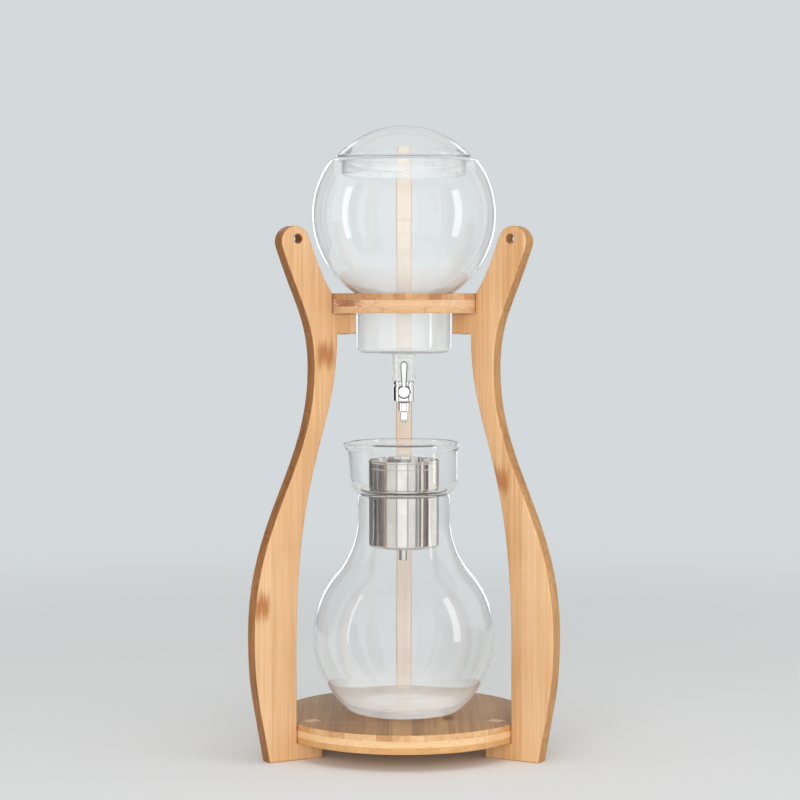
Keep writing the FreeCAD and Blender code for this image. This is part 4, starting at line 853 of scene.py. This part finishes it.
# Ring screws. Zinc-plated steel wood screws, one up through each leg's bracket into the ring.
# Only their countersunk heads, with a round driver recess, stand out below the brackets.
SCREW_AT, SCREW_PROUD, SCREW_TURNS = 54.0, 0.3, 48
HEAD_RADIUS, HEAD_DEEP, SHANK_RADIUS = 3.5, 2.2, 1.75
RECESS_RADIUS, RECESS_FLOOR, RECESS_DEEP, RECESS_POINT = 1.4, 1.1, 1.3, 1.6
zinc = polished("zinc_plated_steel", ("B4B0A2", "C9C6BC"), 0.25, 0.4, (0.7, 0.7, 0.7))
head_low = BRACKET_BOTTOM - SCREW_PROUD
screw_section = [
    (0, head_low + RECESS_POINT), (RECESS_FLOOR, head_low + RECESS_DEEP, 0.2),
    (RECESS_RADIUS, head_low, 0.2), (HEAD_RADIUS, head_low, 0.3),
    (SHANK_RADIUS, head_low + HEAD_DEEP), (0, head_low + HEAD_DEEP),
]
bm = bmesh.new()
for azimuth in LEG_ANGLES.values():
    head = turned(*screw_section, around=SCREW_TURNS, closed=False)
    across = Matrix.Rotation(math.radians(azimuth), 3, "Z") @ Vector((SCREW_AT, 0, 0))
    bmesh.ops.translate(head, vec=across, verts=head.verts)
    join(bm, head)
finish_piece("ring_screw_heads", bm, "stand", [zinc], ["ring_screws"])

# Stage. A pale floor that fades into an even pale surround. Four soft boxes light the tower, and
# four lamps beside and behind it are seen only as bright lines in the glass and the metal.
BACKDROP = linear("D4D9DB")
FLOOR_PAINT = linear("F2F4F4")
FLOOR_SIZE, FLOOR_FADE_IN, FLOOR_FADE_OUT = 6.0, 0.3, 1.5
DIFFUSE_LIGHT = 0.52


def stage_piece(name, bm, material):
    """A piece of the studio, not of the object."""
    mesh = bpy.data.meshes.new(name)
    bm.to_mesh(mesh)
    bm.free()
    mesh.materials.append(material)
    thing = bpy.data.objects.new(name, mesh)
    bpy.context.scene.collection.objects.link(thing)
    return thing


material, tree, surface = new_material("floor_matt_paint")
where = add(tree, "TexCoord", out="Object")
away = add(tree, "VectorMath", {0: where}, out="Value", operation="LENGTH")
fade = add(tree, "MapRange", {"Value": away, "From Min": FLOOR_FADE_IN,
                              "From Max": FLOOR_FADE_OUT}, interpolation_type="SMOOTHSTEP")
paint = add(tree, "BsdfDiffuse", {"Color": FLOOR_PAINT})
glow = add(tree, "Emission", {"Color": BACKDROP, "Strength": 1.0})
tree.links.new(add(tree, "MixShader", {0: fade, 1: paint, 2: glow}), surface)
bm = bmesh.new()
bmesh.ops.create_circle(bm, cap_ends=True, radius=FLOOR_SIZE, segments=96)
stage_piece("floor", bm, material)

world = bpy.data.worlds.new("studio")
bpy.context.scene.world = world
world.use_nodes = True
tree = world.node_tree
tree.nodes.clear()
path = tree.nodes.new("ShaderNodeLightPath").outputs
seen = add(tree, "Math", {0: path["Is Camera Ray"], 1: path["Is Glossy Ray"]},
           operation="MAXIMUM")
seen = add(tree, "Math", {0: seen, 1: path["Is Transmission Ray"]}, operation="MAXIMUM")
light = add(tree, "Background", {"Color": linear("FFFFFF"), "Strength": DIFFUSE_LIGHT})
sight = add(tree, "Background", {"Color": BACKDROP, "Strength": 1.0})
end = tree.nodes.new("ShaderNodeOutputWorld")
tree.links.new(add(tree, "MixShader", {0: seen, 1: light, 2: sight}), end.inputs["Surface"])

MIDDLE = (0, 0, 0.25)


def aim(thing, place):
    """Stands a light or a panel at its place, facing the tower's middle."""
    thing.location = place
    thing.rotation_euler = (Vector(MIDDLE) - Vector(place)).to_track_quat("-Z", "Y").to_euler()


def soft_box(name, place, width, height, watts, mirrored):
    """An area light that the camera doesn't see: one that lights the object, or one that only
    its shiny faces mirror."""
    lamp = bpy.data.lights.new(name, "AREA")
    lamp.shape = "RECTANGLE"
    lamp.size, lamp.size_y, lamp.energy = width, height, watts
    holder = bpy.data.objects.new(name, lamp)
    holder.visible_camera = holder.visible_transmission = False
    holder.visible_glossy, holder.visible_diffuse = mirrored, not mirrored
    bpy.context.scene.collection.objects.link(holder)
    aim(holder, place)


soft_box("key_front", (-0.4, -2.2, 0.75), 1.4, 1.2, 16.0, False)
soft_box("fill_low", (0.6, -1.8, 0.15), 1.2, 0.4, 6.5, False)
soft_box("fill_right", (1.6, -0.7, 0.5), 0.8, 1.2, 3.0, False)
soft_box("box_top", (0.1, -0.4, 1.8), 1.2, 1.0, 5.5, False)
soft_box("strip_left", (-0.906, -0.26, 0.40), 0.16, 0.90, 1.8, True)
soft_box("strip_right", (0.87, -0.36, 0.40), 0.18, 0.80, 2.2, True)
soft_box("rim_left", (-0.95, 1.9, 0.3), 0.7, 2.6, 8.0, True)
soft_box("rim_right", (0.95, 1.9, 0.3), 0.7, 2.6, 8.0, True)

# White and black panels stand round the tower, given by their two azimuths and brightness. Only
# reflections show them, for the stripes that polished metal has. The steel filter, which is seen
# through both faces of a glass wall on the way in and again on the way out, has its own ring.
TAP_PANELS = (
    (-150, -98, 0.02), (-98, -60, 0.80), (-60, 45, 1.15), (45, 62, 0.50), (62, 118, 0.90),
    (125, 150, 0.10),
)
FILTER_PANELS = (
    (-180, -158, 0.80), (-158, -119, 0.00), (-119, -111, 0.18), (-111, -96, 0.00),
    (-96, -88, 0.25), (-88, -60, 0.00), (-60, -54, 0.30), (-54, -25, 0.85), (-25, -20, 0.45),
    (-20, 9, 1.20), (9, 14, 0.50), (14, 35, 0.95), (35, 43, 0.25), (43, 47, 0.70),
    (47, 55, 0.12), (55, 66, 1.10), (66, 83, 0.00), (83, 128, 1.10), (128, 158, 0.35),
    (158, 180, 0.80),
)
PANEL_TOP, TAP_AWAY, FILTER_AWAY = 1.0, 1.2, 0.6


def panel_ring(name, panels, away, few, many):
    """Upright sheets round the tower, that far away. Only a mirrored ray meets them, and only
    after it has crossed between few and many faces of glass."""
    material, tree, surface = new_material(name)
    path = tree.nodes.new("ShaderNodeLightPath").outputs
    mirrored = add(tree, "Math", {0: path["Glossy Depth"], 1: 0.5}, operation="GREATER_THAN")
    enough = add(tree, "Math", {0: path["Transmission Depth"], 1: few - 0.5},
                 operation="GREATER_THAN")
    in_range = add(tree, "Math", {0: path["Transmission Depth"], 1: many + 0.5},
                   operation="LESS_THAN")
    seen = add(tree, "Math", {0: mirrored, 1: enough}, operation="MULTIPLY")
    seen = add(tree, "Math", {0: seen, 1: in_range}, operation="MULTIPLY")
    shine = add(tree, "Attribute", out="Fac", attribute_name="brightness")
    sheet = add(tree, "Emission", {"Color": linear("FFFDFB"), "Strength": shine})
    clear = add(tree, "BsdfTransparent")
    tree.links.new(add(tree, "MixShader", {0: seen, 1: clear, 2: sheet}), surface)
    bm = bmesh.new()
    layer = bm.faces.layers.float.new("brightness")
    for start, stop, brightness in panels:
        feet = [Matrix.Rotation(math.radians(angle), 3, "Z") @ Vector((0, -away, 0))
                for angle in (start, stop)]
        tops = [foot + Vector((0, 0, PANEL_TOP)) for foot in feet]
        face = bm.faces.new([bm.verts.new(corner) for corner in (*feet, *reversed(tops))])
        face[layer] = brightness
    ring = stage_piece(name, bm, material)
    ring.visible_camera = ring.visible_diffuse = ring.visible_shadow = False


panel_ring("tap_panels", TAP_PANELS, TAP_AWAY, 0, 0)
panel_ring("filter_panels", FILTER_PANELS, FILTER_AWAY, 4, 99)

# Camera. A long lens in front of the tower, level with the upper ring's top face and tipped down
# by a few degrees. It stands where the frame falls over the real tower's outline.
SENSOR, LENS = 36.0, 99.0
CAMERA_AWAY, CAMERA_HEIGHT, CAMERA_TIP, CAMERA_TURN = 1.716, 0.3559, 2.785, 0.104
camera = bpy.data.objects.new("camera", bpy.data.cameras.new("camera"))
bpy.context.scene.collection.objects.link(camera)
camera.data.sensor_width, camera.data.lens = SENSOR, LENS
camera.location = (TOWER.x, TOWER.y - CAMERA_AWAY, CAMERA_HEIGHT)
camera.rotation_euler = (math.radians(90 - CAMERA_TIP), 0, math.radians(CAMERA_TURN))
camera.data.clip_start, camera.data.clip_end = 0.1, 50
bpy.context.scene.camera = camera
bpy.context.scene.view_settings.view_transform = "Standard"
